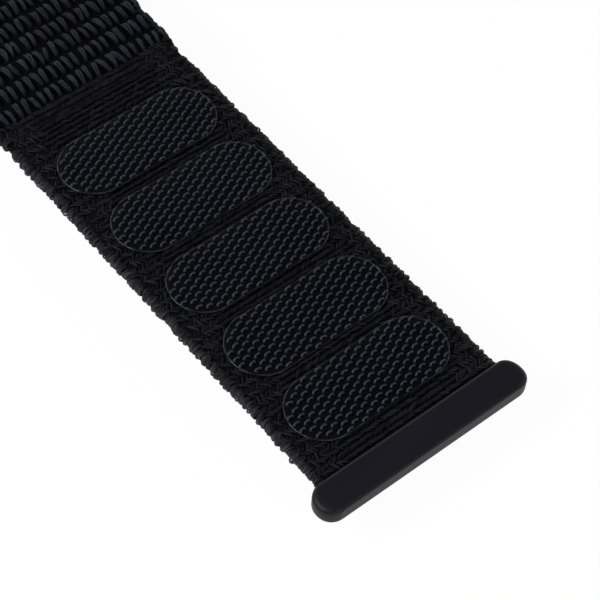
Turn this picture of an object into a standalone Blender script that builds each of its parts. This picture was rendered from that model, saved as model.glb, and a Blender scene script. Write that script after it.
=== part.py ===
"""Nylon hook-and-loop watch strap, built in metres with +Z up.

The strap lies flat and open on a table, outer face up. Its tip with the end bar points to +X and
its sewn eye to -X. The loose ring is threaded on it where the tail starts. The tail turns up and
back over the ring's rod, which is where the strap folds on the wrist.
"""

import math

import bmesh
import bpy
from mathutils import Matrix, Vector

# Driving dimensions of the woven band
STRAP_LENGTH = 0.2400
BAND_WIDTH = 0.0220
SKIN_THICKNESS = 0.00045
GROUND_THICKNESS = 0.00165
PILE_BASE = 0.00020
PILE_ROW_HEIGHT = 0.00055
PILE_ROW_PITCH = 0.00236
LAYER_GAP = 0.00010
PLAIN_AT_EYE = 0.0125

# Driving dimensions of the tail
TAIL_PILE_LENGTH = 0.0302
PILE_FROM_PADS = 0.0047
WEB_THICKNESS = 0.00120
WEB_RIB_HEIGHT = 0.00028
WEB_RIB_PITCH = 0.00132
WEB_STEP_RUN = 0.0006
FOLD_GAP = 0.00040
TONGUE_LENGTH = 0.0020
TONGUE_THICKNESS = 0.00080

# Hook pads
PAD_COUNT = 5
PAD_SIDE_MARGIN = 0.0020
PAD_WIDTH = 0.0074
PAD_PITCH = 0.00885
PAD_FROM_BAR = 0.0060
FILM_THICKNESS = 0.00025
HOOK_HEIGHT = 0.00045
HOOK_PITCH = 0.00120
HOOK_ROW_PITCH = 0.00118
HOOK_SPAN = 0.00062
HOOK_THICKNESS = 0.00030
HOOK_MARGIN = 0.00070
HOOK_SINK = 0.00010

# End bar
BAR_OVERHANG = 0.0014
BAR_DEPTH = 0.0035
BAR_THICKNESS = 0.0022
BAR_CORNER_RADIUS = 0.0015
BAR_EDGE_RADIUS = 0.00040
SLOT_CLEARANCE = 0.00015

# Sewn eye at the fixed end
EYE_WALL = 0.0017
EYE_CLEARANCE = 0.00015
EYE_FLAT = 0.00005
HEM_LENGTH = 0.0150
HEM_RISE = 0.0050
HEM_THROAT = 0.0026
HEM_THICKNESS = 0.00155
HEM_GAP = 0.00015
THREAD_RADIUS = 0.00015
THREAD_SWING = 0.00045
THREAD_STEP = 0.00090
THREAD_INSET = 0.0012
THREAD_ROWS = 2
THREAD_ROW_GAP = 0.0040
THREAD_FROM_HEM_END = 0.0035

# Loose ring
BARREL_DIAMETER = 0.0028
LUG_CLEARANCE = 0.0003
CROSS_BAR_DEPTH = 0.0022
CROSS_BAR_OFFSET = 0.0020
CROSS_BAR_EDGE = 0.00050
BARREL_NECK = 0.00020
BARREL_NECK_HEIGHT = 0.0018
ROD_RADIUS = 0.0010
ARM_RADIUS = 0.00125
ARM_THICKNESS = 0.0012
ARM_INSET = 0.0001
RING_SIDE_CLEARANCE = 0.0004
RING_UNDER_CLEARANCE = 0.0003
RING_OVER_CLEARANCE = 0.00035

# Spring pins
PIN_DIAMETER = 0.0018
PIN_WALL = 0.00020
PIN_LIP = 0.00030
PIN_LIP_OPENING = 0.00050
PIN_FIT = 0.00010
TIP_RADIUS = 0.00040
TIP_REACH = 0.0011
TIP_CHAMFER = 0.00012
SHOULDER_LENGTH = 0.0030
FIXED_STEM_LENGTH = 0.0090
RELEASE_TRAVEL = 0.0012
KNOB_SHAFT_RADIUS = 0.00022
KNOB_HEAD_RADIUS = 0.00040
KNOB_HEAD_LENGTH = 0.00030
KNOB_DEPTH = 0.00030
KNOB_FROM_SHOULDER = 0.0014
RING_KNOB_REACH = 0.00128
EYE_KNOB_REACH = 0.00230
PIN_TURN = math.radians(8.0)
SPRING_WIRE_RADIUS = 0.00009
SPRING_RADIUS = 0.00044
SPRING_TURNS = 9

# Fit shared by small parts, and how far every cut runs past what it cuts
CUT_OVERRUN = 0.0005
MERGE_DISTANCE = 0.000001

# Smoothness of round shapes
TURNED_STEPS = 24
ARC_STEPS = 8
PAD_END_STEPS = 16
SPRING_STEPS_PER_TURN = 8
SMOOTH_ANGLE = math.radians(35.0)

# Top of a hook as a share of its foot
HOOK_TAPER_SHARE = 0.72

# Outlines of one rib and one pile row: share of the pitch, share of the height
RIB_SHARES = ((0.0, 0.0), (0.22, 0.8), (0.5, 1.0), (0.78, 0.8))
PILE_SHARES = ((0.0, 0.0), (0.09, 0.72), (0.33, 1.0), (0.57, 0.72), (0.66, 0.0))

# Heights worked out from the stack: table, ring, skin, ground weave, pile
SKIN_BOTTOM = BARREL_DIAMETER + RING_UNDER_CLEARANCE
SKIN_TOP = SKIN_BOTTOM + SKIN_THICKNESS
GROUND_BOTTOM = SKIN_TOP + LAYER_GAP
GROUND_TOP = GROUND_BOTTOM + GROUND_THICKNESS
PILE_BOTTOM = GROUND_TOP + LAYER_GAP
PILE_FLOOR = PILE_BOTTOM + PILE_BASE
PILE_TOP = PILE_FLOOR + PILE_ROW_HEIGHT
WEB_TOP = GROUND_BOTTOM + WEB_THICKNESS
FILM_BOTTOM = WEB_TOP + LAYER_GAP
FILM_TOP = FILM_BOTTOM + FILM_THICKNESS

# Lengths that follow the weave's width and the row of pads
PAD_LENGTH = BAND_WIDTH - 2 * PAD_SIDE_MARGIN
BAR_LENGTH = BAND_WIDTH + 2 * BAR_OVERHANG
BARREL_LENGTH = BAND_WIDTH - 2 * LUG_CLEARANCE
WEB_LENGTH = PAD_FROM_BAR + (PAD_COUNT - 1) * PAD_PITCH + PAD_WIDTH / 2 + PILE_FROM_PADS
FOLD_DISTANCE = WEB_LENGTH + TAIL_PILE_LENGTH

# Places along the strap, with the middle of its length at zero
TIP_X = STRAP_LENGTH / 2
BAR_X = TIP_X - BAR_DEPTH
FOLD_X = BAR_X - FOLD_DISTANCE
WEB_X = BAR_X - WEB_LENGTH
PIN_RADIUS = PIN_DIAMETER / 2
EYE_INNER = PIN_RADIUS + EYE_CLEARANCE
EYE_OUTER = EYE_INNER + EYE_WALL
EYE_X = EYE_OUTER - STRAP_LENGTH / 2
EYE_Z = EYE_OUTER - EYE_FLAT
HALF_WIDTH = BAND_WIDTH / 2

# Places of the ring, carried by the strap's own heights and width
ROD_Z = PILE_TOP + RING_OVER_CLEARANCE + ROD_RADIUS
FOLD_AXIS = Vector((FOLD_X, 0.0, ROD_Z))
CROSS_BAR_X = FOLD_X + CROSS_BAR_OFFSET
BARREL_RADIUS = BARREL_DIAMETER / 2
BARREL_X = CROSS_BAR_X + CROSS_BAR_DEPTH + BARREL_NECK + BARREL_RADIUS
BARREL_Z = BARREL_RADIUS
ARM_INNER = HALF_WIDTH + RING_SIDE_CLEARANCE
ARM_OUTER = ARM_INNER + ARM_THICKNESS
RING_PIN_AXIS = Vector((BARREL_X, 0.0, BARREL_Z))
EYE_PIN_AXIS = Vector((EYE_X, 0.0, EYE_Z))


def clear_scene():
    """Remove every object that the file opened with."""
    for item in list(bpy.data.objects):
        bpy.data.objects.remove(item, do_unlink=True)


def make_collection(name):
    """Return a new collection linked to the scene."""
    group = bpy.data.collections.new(name)
    bpy.context.scene.collection.children.link(group)
    return group


def make_material(name, colour, roughness, metallic):
    """Return a Principled material of one colour."""
    finish = bpy.data.materials.new(name)
    finish.use_nodes = True
    shader = finish.node_tree.nodes["Principled BSDF"]
    shader.inputs["Base Color"].default_value = (*colour, 1.0)
    shader.inputs["Roughness"].default_value = roughness
    shader.inputs["Metallic"].default_value = metallic
    finish.diffuse_color = (*colour, 1.0)
    return finish


clear_scene()
PARTS = make_collection("nylon_watch_strap")
CUTTERS = make_collection("cutters")
BLACK_NYLON = make_material("black_nylon", (0.016, 0.016, 0.020), 0.85, 0.0)
PILE_NYLON = make_material("pile_nylon", (0.022, 0.022, 0.027), 0.80, 0.0)
HOOK_RESIN = make_material("hook_resin", (0.035, 0.036, 0.042), 0.35, 0.0)
BAR_RESIN = make_material("bar_resin", (0.015, 0.015, 0.019), 0.45, 0.0)
DARK_STEEL = make_material("dark_steel", (0.090, 0.090, 0.100), 0.35, 1.0)
BRIGHT_STEEL = make_material("bright_steel", (0.550, 0.550, 0.560), 0.30, 1.0)


def smooth(mesh):
    """Shade a mesh smooth up to the sharp angle."""
    mesh.shade_smooth()
    mesh.set_sharp_from_angle(angle=SMOOTH_ANGLE)


def weld(mesh, recalculate=True):
    """Merge a mesh's doubled points and turn its faces outwards."""
    work = bmesh.new()
    work.from_mesh(mesh)
    bmesh.ops.remove_doubles(work, verts=work.verts, dist=MERGE_DISTANCE)
    if recalculate:
        bmesh.ops.recalc_face_normals(work, faces=work.faces)
    work.to_mesh(mesh)
    work.free()


def add_piece(name, mesh, finish, pivot):
    """Add a sub-part whose mesh is in world places and whose origin is at the pivot."""
    mesh.transform(Matrix.Translation(-Vector(pivot)))
    mesh.materials.clear()
    mesh.materials.append(finish)
    smooth(mesh)
    item = bpy.data.objects.new(name, mesh)
    item.location = pivot
    PARTS.objects.link(item)
    return item


def add_cutter(name, mesh):
    """Add a helper shape that cuts or joins another, and isn't a part itself."""
    item = bpy.data.objects.new(name, mesh)
    item.hide_render = True
    item.display_type = "WIRE"
    CUTTERS.objects.link(item)
    return item


def apply_boolean(item, helper, operation):
    """Give a piece a live Boolean with a helper shape."""
    step = item.modifiers.new(helper.name, "BOOLEAN")
    step.operation = operation
    step.solver = "EXACT"
    step.object = helper


def curve_mesh(name, data, matrix):
    """Turn a filled curve into one closed mesh in world places."""
    item = bpy.data.objects.new(name, data)
    item.matrix_world = matrix
    bpy.context.scene.collection.objects.link(item)
    graph = bpy.context.evaluated_depsgraph_get()
    mesh = bpy.data.meshes.new_from_object(item.evaluated_get(graph))
    bpy.data.objects.remove(item, do_unlink=True)
    mesh.transform(matrix)
    weld(mesh)
    mesh.name = name
    return mesh


def outline_mesh(name, points, half_depth, matrix):
    """Extrude a closed outline by half its depth to each side of its plane."""
    data = bpy.data.curves.new(name, "CURVE")
    data.dimensions = "2D"
    data.fill_mode = "BOTH"
    data.extrude = half_depth
    spline = data.splines.new("POLY")
    spline.points.add(len(points) - 1)
    for point, (across, up) in zip(spline.points, points):
        point.co = (across, up, 0.0, 1.0)
    spline.use_cyclic_u = True
    return curve_mesh(name, data, matrix)


# An outline drawn as length and height stands up, and is extruded across the strap
UPRIGHT = Matrix.Rotation(math.radians(90.0), 4, "X")


def wire_mesh(name, points, radius):
    """Make a round wire along a list of points."""
    data = bpy.data.curves.new(name, "CURVE")
    data.dimensions = "3D"
    data.bevel_depth = radius
    data.bevel_resolution = 1
    data.use_fill_caps = True
    spline = data.splines.new("POLY")
    spline.points.add(len(points) - 1)
    for point, place in zip(spline.points, points):
        point.co = (*place, 1.0)
    return curve_mesh(name, data, Matrix.Identity(4))


def arc(centre, radius, start, end, steps):
    """Return points on an arc from one angle to another, both ends included."""
    points = []
    for step in range(steps + 1):
        angle = math.radians(start + (end - start) * step / steps)
        points.append((centre[0] + radius * math.cos(angle), centre[1] + radius * math.sin(angle)))
    return points


def hull(points):
    """Return the convex outline round a set of points."""
    ordered = sorted(set(points))

    def half(sequence):
        chain = []
        for point in sequence:
            while len(chain) > 1:
                (ax, ay), (bx, by) = chain[-2], chain[-1]
                turn = (bx - ax) * (point[1] - ay) - (by - ay) * (point[0] - ax)
                if turn > 0.0:
                    break
                chain.pop()
            chain.append(point)
        return chain[:-1]

    return half(ordered) + half(reversed(ordered))


def cylinder_mesh(name, radius, length, centre, axis="Y"):
    """Make a round bar about a centre, along Y or Z."""
    turn = Matrix.Rotation(math.radians(90.0), 4, "X") if axis == "Y" else Matrix.Identity(4)
    mesh = bpy.data.meshes.new(name)
    work = bmesh.new()
    bmesh.ops.create_cone(
        work, cap_ends=True, segments=TURNED_STEPS, radius1=radius, radius2=radius, depth=length,
        matrix=Matrix.Translation(centre) @ turn,
    )
    work.to_mesh(mesh)
    work.free()
    return mesh


def box_mesh(name, low, high):
    """Make a box between two corners."""
    low = Vector(low)
    high = Vector(high)
    mesh = bpy.data.meshes.new(name)
    work = bmesh.new()
    size = Matrix.Diagonal((*(high - low), 1.0))
    bmesh.ops.create_cube(work, size=1.0, matrix=Matrix.Translation((low + high) / 2) @ size)
    work.to_mesh(mesh)
    work.free()
    return mesh


def turned_piece(name, profile, finish, axis_point, closed=False):
    """Turn a profile of radius and distance along Y about the line through a point."""
    mesh = bpy.data.meshes.new(name)
    work = bmesh.new()
    points = [work.verts.new((radius, along, 0.0)) for radius, along in profile]
    for first, second in zip(points, points[1:]):
        work.edges.new((first, second))
    if closed:
        work.edges.new((points[-1], points[0]))
    work.to_mesh(mesh)
    work.free()
    mesh.materials.append(finish)
    item = bpy.data.objects.new(name, mesh)
    item.location = axis_point
    PARTS.objects.link(item)
    screw = item.modifiers.new("turn", "SCREW")
    screw.axis = "Y"
    screw.steps = TURNED_STEPS
    screw.render_steps = TURNED_STEPS
    screw.use_merge_vertices = True
    screw.merge_threshold = MERGE_DISTANCE
    screw.use_smooth_shade = True
    return item


def repeated_top(start, end, pitch, floor, height, shares):
    """Return the top outline of rows of one shape, centred between two ends, left to right."""
    count = int((end - start) // pitch)
    margin = (end - start - count * pitch) / 2
    points = [(start, floor)]
    for row in range(count):
        left = start + margin + row * pitch
        for along, up in shares:
            points.append((left + along * pitch, floor + up * height))
    points.append((end - margin, floor))
    if margin > MERGE_DISTANCE:
        points.append((end, floor))
    return points


# Band between the sewn eye and the fold
def build_band_weave():
    """Ground weave of the band, with its end turned down round the pin and back as a hem."""
    flap_top = SKIN_BOTTOM - HEM_GAP
    flap_bottom = flap_top - HEM_THICKNESS
    eye = (EYE_X, EYE_Z)
    entry = math.degrees(math.asin((GROUND_BOTTOM - EYE_Z) / EYE_INNER))
    end = FOLD_X - FOLD_GAP / 2
    points = [(end, GROUND_BOTTOM), (end, GROUND_TOP), (EYE_X + HEM_RISE, GROUND_TOP)]
    points += arc(eye, EYE_OUTER, 75.0, 285.0, 2 * ARC_STEPS + 1)
    points += [(EYE_X + HEM_RISE, flap_bottom), (EYE_X + HEM_LENGTH, flap_bottom)]
    points += [(EYE_X + HEM_LENGTH, flap_top), (EYE_X + HEM_THROAT, flap_top)]
    points += arc(eye, EYE_INNER, 315.0, entry, 2 * ARC_STEPS)
    points = [(along, max(up, 0.0)) for along, up in points]
    mesh = outline_mesh("band_weave", points, HALF_WIDTH, UPRIGHT)
    item = add_piece("band_weave", mesh, BLACK_NYLON, EYE_PIN_AXIS)
    notch = knob_window_mesh("eye_notch", EYE_PIN_AXIS, EYE_KNOB_REACH, EYE_OUTER)
    apply_boolean(item, add_cutter("eye_notch", notch), "DIFFERENCE")
    return item


def build_band_pile():
    """Rows of fastening pile on the band's outer face."""
    start = EYE_X + PLAIN_AT_EYE
    end = FOLD_X - FOLD_GAP / 2
    points = repeated_top(start, end, PILE_ROW_PITCH, PILE_FLOOR, PILE_ROW_HEIGHT, PILE_SHARES)
    points += [(end, PILE_BOTTOM), (start, PILE_BOTTOM)]
    mesh = outline_mesh("band_pile", points, HALF_WIDTH, UPRIGHT)
    return add_piece("band_pile", mesh, PILE_NYLON, (start, 0.0, PILE_BOTTOM))


def build_band_skin():
    """Soft layer on the band's wrist side."""
    start = EYE_X + HEM_THROAT
    end = FOLD_X - FOLD_GAP / 2
    mesh = box_mesh("band_skin", (start, -HALF_WIDTH, SKIN_BOTTOM), (end, HALF_WIDTH, SKIN_TOP))
    return add_piece("band_skin", mesh, BLACK_NYLON, (start, 0.0, SKIN_BOTTOM))


def build_hem_thread(number):
    """One row of zigzag sewing thread under the hem."""
    from_eye = HEM_LENGTH - THREAD_FROM_HEM_END - (THREAD_ROWS - number) * THREAD_ROW_GAP
    height = SKIN_BOTTOM - HEM_GAP - HEM_THICKNESS - LAYER_GAP - THREAD_RADIUS
    reach = HALF_WIDTH - THREAD_INSET
    count = int(2 * reach // THREAD_STEP)
    points = []
    for step in range(count + 1):
        side = THREAD_SWING if step % 2 else -THREAD_SWING
        points.append((EYE_X + from_eye + side, -reach + step * 2 * reach / count, height))
    name = f"hem_thread_{number}"
    mesh = wire_mesh(name, points, THREAD_RADIUS)
    return add_piece(name, mesh, BLACK_NYLON, (EYE_X + from_eye, 0.0, height))


# Tail between the fold and the tip
def build_tail_weave():
    """Ground weave of the tail: thick under the pile, then thin and ribbed, then a tongue."""
    start = FOLD_X + FOLD_GAP / 2
    web_start = WEB_X + WEB_STEP_RUN
    web_end = BAR_X - SLOT_CLEARANCE
    middle = (GROUND_BOTTOM + WEB_TOP) / 2
    tongue_end = BAR_X + TONGUE_LENGTH
    points = [(start, GROUND_BOTTOM), (start, GROUND_TOP), (WEB_X, GROUND_TOP)]
    floor = WEB_TOP - WEB_RIB_HEIGHT
    points += repeated_top(web_start, web_end, WEB_RIB_PITCH, floor, WEB_RIB_HEIGHT, RIB_SHARES)
    points += [(web_end, middle + TONGUE_THICKNESS / 2), (tongue_end, middle + TONGUE_THICKNESS / 2)]
    points += [(tongue_end, middle - TONGUE_THICKNESS / 2), (web_end, middle - TONGUE_THICKNESS / 2)]
    points += [(web_end, GROUND_BOTTOM)]
    mesh = outline_mesh("tail_weave", points, HALF_WIDTH, UPRIGHT)
    return add_piece("tail_weave", mesh, BLACK_NYLON, FOLD_AXIS)


def build_tail_pile():
    """Rows of fastening pile between the fold and the thin web."""
    start = FOLD_X + FOLD_GAP / 2
    points = repeated_top(start, WEB_X, PILE_ROW_PITCH, PILE_FLOOR, PILE_ROW_HEIGHT, PILE_SHARES)
    points += [(WEB_X, PILE_BOTTOM), (start, PILE_BOTTOM)]
    mesh = outline_mesh("tail_pile", points, HALF_WIDTH, UPRIGHT)
    return add_piece("tail_pile", mesh, PILE_NYLON, FOLD_AXIS)


def build_tail_skin():
    """Soft layer on the tail's wrist side, up to the end bar."""
    start = FOLD_X + FOLD_GAP / 2
    end = BAR_X - SLOT_CLEARANCE
    mesh = box_mesh("tail_skin", (start, -HALF_WIDTH, SKIN_BOTTOM), (end, HALF_WIDTH, SKIN_TOP))
    return add_piece("tail_skin", mesh, BLACK_NYLON, FOLD_AXIS)


def hook_places(centre_x):
    """Return the places of a pad's hooks, in rows staggered by half a pitch."""
    end_radius = PAD_WIDTH / 2 - HOOK_MARGIN
    straight = (PAD_LENGTH - PAD_WIDTH) / 2
    rows = int((PAD_WIDTH / 2 - HOOK_MARGIN) // HOOK_ROW_PITCH)
    columns = int(PAD_LENGTH // HOOK_PITCH)
    places = []
    for row in range(-rows, rows + 1):
        shift = HOOK_PITCH / 2 if row % 2 else 0.0
        for column in range(-columns, columns + 1):
            along = row * HOOK_ROW_PITCH
            across = column * HOOK_PITCH + shift
            past = max(abs(across) - straight, 0.0)
            if math.hypot(along, past) <= end_radius:
                places.append((centre_x + along, across))
    return places


def build_hook_pad(number):
    """One lozenge-shaped film with its rows of moulded hooks."""
    centre_x = BAR_X - PAD_FROM_BAR - (PAD_COUNT - number) * PAD_PITCH
    radius = PAD_WIDTH / 2
    straight = PAD_LENGTH / 2 - radius
    outline = arc((centre_x, straight), radius, 0.0, 180.0, PAD_END_STEPS)
    outline += arc((centre_x, -straight), radius, 180.0, 360.0, PAD_END_STEPS)
    name = f"hook_pad_{number}"
    middle = Matrix.Translation((0.0, 0.0, (FILM_BOTTOM + FILM_TOP) / 2))
    mesh = outline_mesh(name, outline, FILM_THICKNESS / 2, middle)
    item = add_piece(name, mesh, HOOK_RESIN, FOLD_AXIS)
    hooks = bpy.data.meshes.new(f"hooks_{number}")
    work = bmesh.new()
    quarter = Matrix.Rotation(math.radians(45.0), 4, "Z")
    corner = math.sqrt(0.5)
    shape = Matrix.Diagonal((HOOK_THICKNESS, HOOK_SPAN, 1.0, 1.0))
    depth = HOOK_HEIGHT + HOOK_SINK
    for along, across in hook_places(centre_x):
        place = Matrix.Translation((along, across, FILM_TOP - HOOK_SINK + depth / 2))
        bmesh.ops.create_cone(
            work, cap_ends=True, segments=4, radius1=corner, radius2=corner * HOOK_TAPER_SHARE,
            depth=depth, matrix=place @ shape @ quarter,
        )
    work.to_mesh(hooks)
    work.free()
    apply_boolean(item, add_cutter(f"hooks_{number}", hooks), "UNION")
    return item


def build_end_bar():
    """Moulded bar that grips the tongue of the tail and stops the ring."""
    reach = BAR_LENGTH / 2 - BAR_CORNER_RADIUS
    low = BAR_X + BAR_CORNER_RADIUS
    high = TIP_X - BAR_CORNER_RADIUS
    outline = arc((high, reach), BAR_CORNER_RADIUS, 0.0, 90.0, ARC_STEPS)
    outline += arc((low, reach), BAR_CORNER_RADIUS, 90.0, 180.0, ARC_STEPS)
    outline += arc((low, -reach), BAR_CORNER_RADIUS, 180.0, 270.0, ARC_STEPS)
    outline += arc((high, -reach), BAR_CORNER_RADIUS, 270.0, 360.0, ARC_STEPS)
    middle = (GROUND_BOTTOM + WEB_TOP) / 2
    level = Matrix.Translation((0.0, 0.0, middle))
    mesh = outline_mesh("end_bar", outline, BAR_THICKNESS / 2, level)
    item = add_piece("end_bar", mesh, BAR_RESIN, FOLD_AXIS)
    edge = item.modifiers.new("rounded_edges", "BEVEL")
    edge.width = BAR_EDGE_RADIUS
    edge.segments = 3
    edge.limit_method = "ANGLE"
    edge.angle_limit = SMOOTH_ANGLE
    half_slot = TONGUE_THICKNESS / 2 + SLOT_CLEARANCE
    half_wide = HALF_WIDTH + SLOT_CLEARANCE
    slot = box_mesh(
        "tongue_slot",
        (BAR_X - CUT_OVERRUN, -half_wide, middle - half_slot),
        (BAR_X + TONGUE_LENGTH + SLOT_CLEARANCE, half_wide, middle + half_slot),
    )
    apply_boolean(item, add_cutter("tongue_slot", slot), "DIFFERENCE")
    return item


# Places of a spring pin's pieces along its own axis, from the middle of the pin
PIN_HALF = BARREL_LENGTH / 2
SHOULDER_FRONT = PIN_HALF - PIN_LIP - PIN_FIT / 2
SHOULDER_BACK = SHOULDER_FRONT - SHOULDER_LENGTH
KNOB_Y = SHOULDER_FRONT - KNOB_FROM_SHOULDER
PIN_INNER = PIN_RADIUS - PIN_WALL
SHOULDER_RADIUS = PIN_INNER - PIN_FIT


def knob_window_mesh(name, axis_point, knob_reach, outer_radius):
    """Make the window that lets a pin's knob slide along and swing a little."""
    swing = knob_reach * math.sin(PIN_TURN)
    half = swing + KNOB_HEAD_RADIUS + PIN_FIT
    high_y = KNOB_Y + KNOB_HEAD_RADIUS + PIN_FIT
    low_y = KNOB_Y - RELEASE_TRAVEL - KNOB_HEAD_RADIUS - PIN_FIT
    low = axis_point + Vector((-half, low_y, -outer_radius - CUT_OVERRUN))
    high = axis_point + Vector((half, high_y, 0.0))
    return box_mesh(name, low, high)


# Loose ring
def cross_bar_corners(radius):
    """Return points round the cross bar's four corners, at a radius about their centres."""
    points = []
    for along in (CROSS_BAR_X + CROSS_BAR_EDGE, CROSS_BAR_X + CROSS_BAR_DEPTH - CROSS_BAR_EDGE):
        for up in (CROSS_BAR_EDGE, BARREL_DIAMETER - CROSS_BAR_EDGE):
            points += arc((along, up), radius, 0.0, 360.0, 2 * ARC_STEPS)
    return points


def build_slider_frame():
    """Ring of rod, two side arms and cross bar, with the barrel that holds its spring pin."""
    high_x = CROSS_BAR_X + CROSS_BAR_DEPTH
    bar = hull(cross_bar_corners(CROSS_BAR_EDGE))
    foot = cross_bar_corners(CROSS_BAR_EDGE - ARM_INSET)
    arm = hull(foot + arc((FOLD_X, ROD_Z), ARM_RADIUS, 0.0, 360.0, 2 * ARC_STEPS))
    half_arm = ARM_THICKNESS / 2
    side = ARM_INNER + half_arm
    mesh = outline_mesh("slider_frame", bar, ARM_OUTER - half_arm, UPRIGHT)
    item = add_piece("slider_frame", mesh, DARK_STEEL, FOLD_AXIS)
    for label, place in (("left", -side), ("right", side)):
        stand = Matrix.Translation((0.0, place, 0.0)) @ UPRIGHT
        plate = outline_mesh(f"arm_{label}", arm, half_arm, stand)
        apply_boolean(item, add_cutter(f"arm_{label}", plate), "UNION")
    rod = cylinder_mesh("fold_rod", ROD_RADIUS, 2 * side, FOLD_AXIS)
    apply_boolean(item, add_cutter("fold_rod", rod), "UNION")
    barrel = cylinder_mesh("barrel", BARREL_RADIUS, BARREL_LENGTH, RING_PIN_AXIS)
    apply_boolean(item, add_cutter("barrel", barrel), "UNION")
    half_neck = BARREL_NECK_HEIGHT / 2
    neck = box_mesh(
        "barrel_neck",
        (high_x - CROSS_BAR_EDGE, -BARREL_LENGTH / 2, BARREL_Z - half_neck),
        (BARREL_X, BARREL_LENGTH / 2, BARREL_Z + half_neck),
    )
    apply_boolean(item, add_cutter("barrel_neck", neck), "UNION")
    bore_length = BARREL_LENGTH + 2 * CUT_OVERRUN
    bore = cylinder_mesh("barrel_bore", PIN_RADIUS + PIN_FIT, bore_length, RING_PIN_AXIS)
    apply_boolean(item, add_cutter("barrel_bore", bore), "DIFFERENCE")
    window = knob_window_mesh("barrel_window", RING_PIN_AXIS, RING_KNOB_REACH, BARREL_RADIUS)
    apply_boolean(item, add_cutter("barrel_window", window), "DIFFERENCE")
    return item


# Spring pins
def build_pin_tube(prefix, axis_point):
    """Tube of a spring pin, with lips that keep its tips in and a slot for its knob."""
    inner_end = PIN_HALF - PIN_LIP
    profile = (
        (PIN_RADIUS, PIN_HALF), (PIN_RADIUS, -PIN_HALF), (PIN_LIP_OPENING, -PIN_HALF),
        (PIN_LIP_OPENING, -inner_end), (PIN_INNER, -inner_end), (PIN_INNER, inner_end),
        (PIN_LIP_OPENING, inner_end), (PIN_LIP_OPENING, PIN_HALF),
    )
    item = turned_piece(f"{prefix}_pin_tube", profile, BRIGHT_STEEL, axis_point, closed=True)
    half = KNOB_SHAFT_RADIUS + PIN_FIT
    slot = box_mesh(
        f"{prefix}_tube_slot",
        axis_point + Vector((-half, KNOB_Y - RELEASE_TRAVEL - half, -PIN_RADIUS - CUT_OVERRUN)),
        axis_point + Vector((half, KNOB_Y + half, 0.0)),
    )
    apply_boolean(item, add_cutter(f"{prefix}_tube_slot", slot), "DIFFERENCE")
    return item


def tip_profile(front, back):
    """Return the profile of a tip from its end to the back of its shoulder."""
    end = PIN_HALF + TIP_REACH
    return (
        (0.0, end), (TIP_RADIUS - TIP_CHAMFER, end), (TIP_RADIUS, end - TIP_CHAMFER),
        (TIP_RADIUS, front), (SHOULDER_RADIUS, front), (SHOULDER_RADIUS, back), (0.0, back),
    )


def build_release_tip(prefix, axis_point):
    """Sprung tip of a pin, with the hole that its knob is pressed into."""
    profile = tip_profile(SHOULDER_FRONT, SHOULDER_BACK)
    item = turned_piece(f"{prefix}_pin_release_tip", profile, BRIGHT_STEEL, axis_point)
    hole_radius = KNOB_SHAFT_RADIUS + PIN_FIT / 2
    hole_bottom = SHOULDER_RADIUS - KNOB_DEPTH - PIN_FIT / 2
    hole_length = KNOB_DEPTH + PIN_FIT / 2 + CUT_OVERRUN
    centre = axis_point + Vector((0.0, KNOB_Y, -hole_bottom - hole_length / 2))
    hole = cylinder_mesh(f"{prefix}_knob_hole", hole_radius, hole_length, centre, axis="Z")
    apply_boolean(item, add_cutter(f"{prefix}_knob_hole", hole), "DIFFERENCE")
    return item


def build_fixed_tip(prefix, axis_point):
    """Still tip of a pin, with the long stem that its spring presses on."""
    front = SHOULDER_FRONT
    profile = tip_profile(front, front - FIXED_STEM_LENGTH)
    mirrored = tuple((radius, -along) for radius, along in reversed(profile))
    return turned_piece(f"{prefix}_pin_fixed_tip", mirrored, BRIGHT_STEEL, axis_point)


def build_release_knob(prefix, axis_point, knob_reach):
    """Small knob that a fingernail slides to draw the sprung tip in."""
    top = SHOULDER_RADIUS - KNOB_DEPTH
    shaft_length = knob_reach - top
    shaft_centre = axis_point + Vector((0.0, KNOB_Y, -top - shaft_length / 2))
    name = f"{prefix}_pin_release_knob"
    mesh = cylinder_mesh(name, KNOB_SHAFT_RADIUS, shaft_length, shaft_centre, axis="Z")
    item = add_piece(name, mesh, BRIGHT_STEEL, axis_point)
    head_centre = axis_point + Vector((0.0, KNOB_Y, -knob_reach + KNOB_HEAD_LENGTH / 2))
    head_name = f"{prefix}_knob_head"
    head = cylinder_mesh(head_name, KNOB_HEAD_RADIUS, KNOB_HEAD_LENGTH, head_centre, axis="Z")
    apply_boolean(item, add_cutter(head_name, head), "UNION")
    return item


def build_pin_spring(prefix, axis_point):
    """Coil spring between the two tips, inside the tube."""
    low = -SHOULDER_FRONT + FIXED_STEM_LENGTH + PIN_FIT + SPRING_WIRE_RADIUS
    high = SHOULDER_BACK - PIN_FIT - SPRING_WIRE_RADIUS
    steps = SPRING_TURNS * SPRING_STEPS_PER_TURN
    points = []
    for step in range(steps + 1):
        angle = 2 * math.pi * step / SPRING_STEPS_PER_TURN
        along = low + (high - low) * step / steps
        ring = Vector((SPRING_RADIUS * math.cos(angle), along, SPRING_RADIUS * math.sin(angle)))
        points.append(axis_point + ring)
    name = f"{prefix}_pin_spring"
    mesh = wire_mesh(name, points, SPRING_WIRE_RADIUS)
    return add_piece(name, mesh, BRIGHT_STEEL, axis_point)


def build_pin(prefix, axis_point, knob_reach):
    """Spring pin of five pieces: its tube, two tips, knob and spring."""
    return [
        build_pin_tube(prefix, axis_point),
        build_fixed_tip(prefix, axis_point),
        build_release_tip(prefix, axis_point),
        build_release_knob(prefix, axis_point, knob_reach),
        build_pin_spring(prefix, axis_point),
    ]


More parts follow.
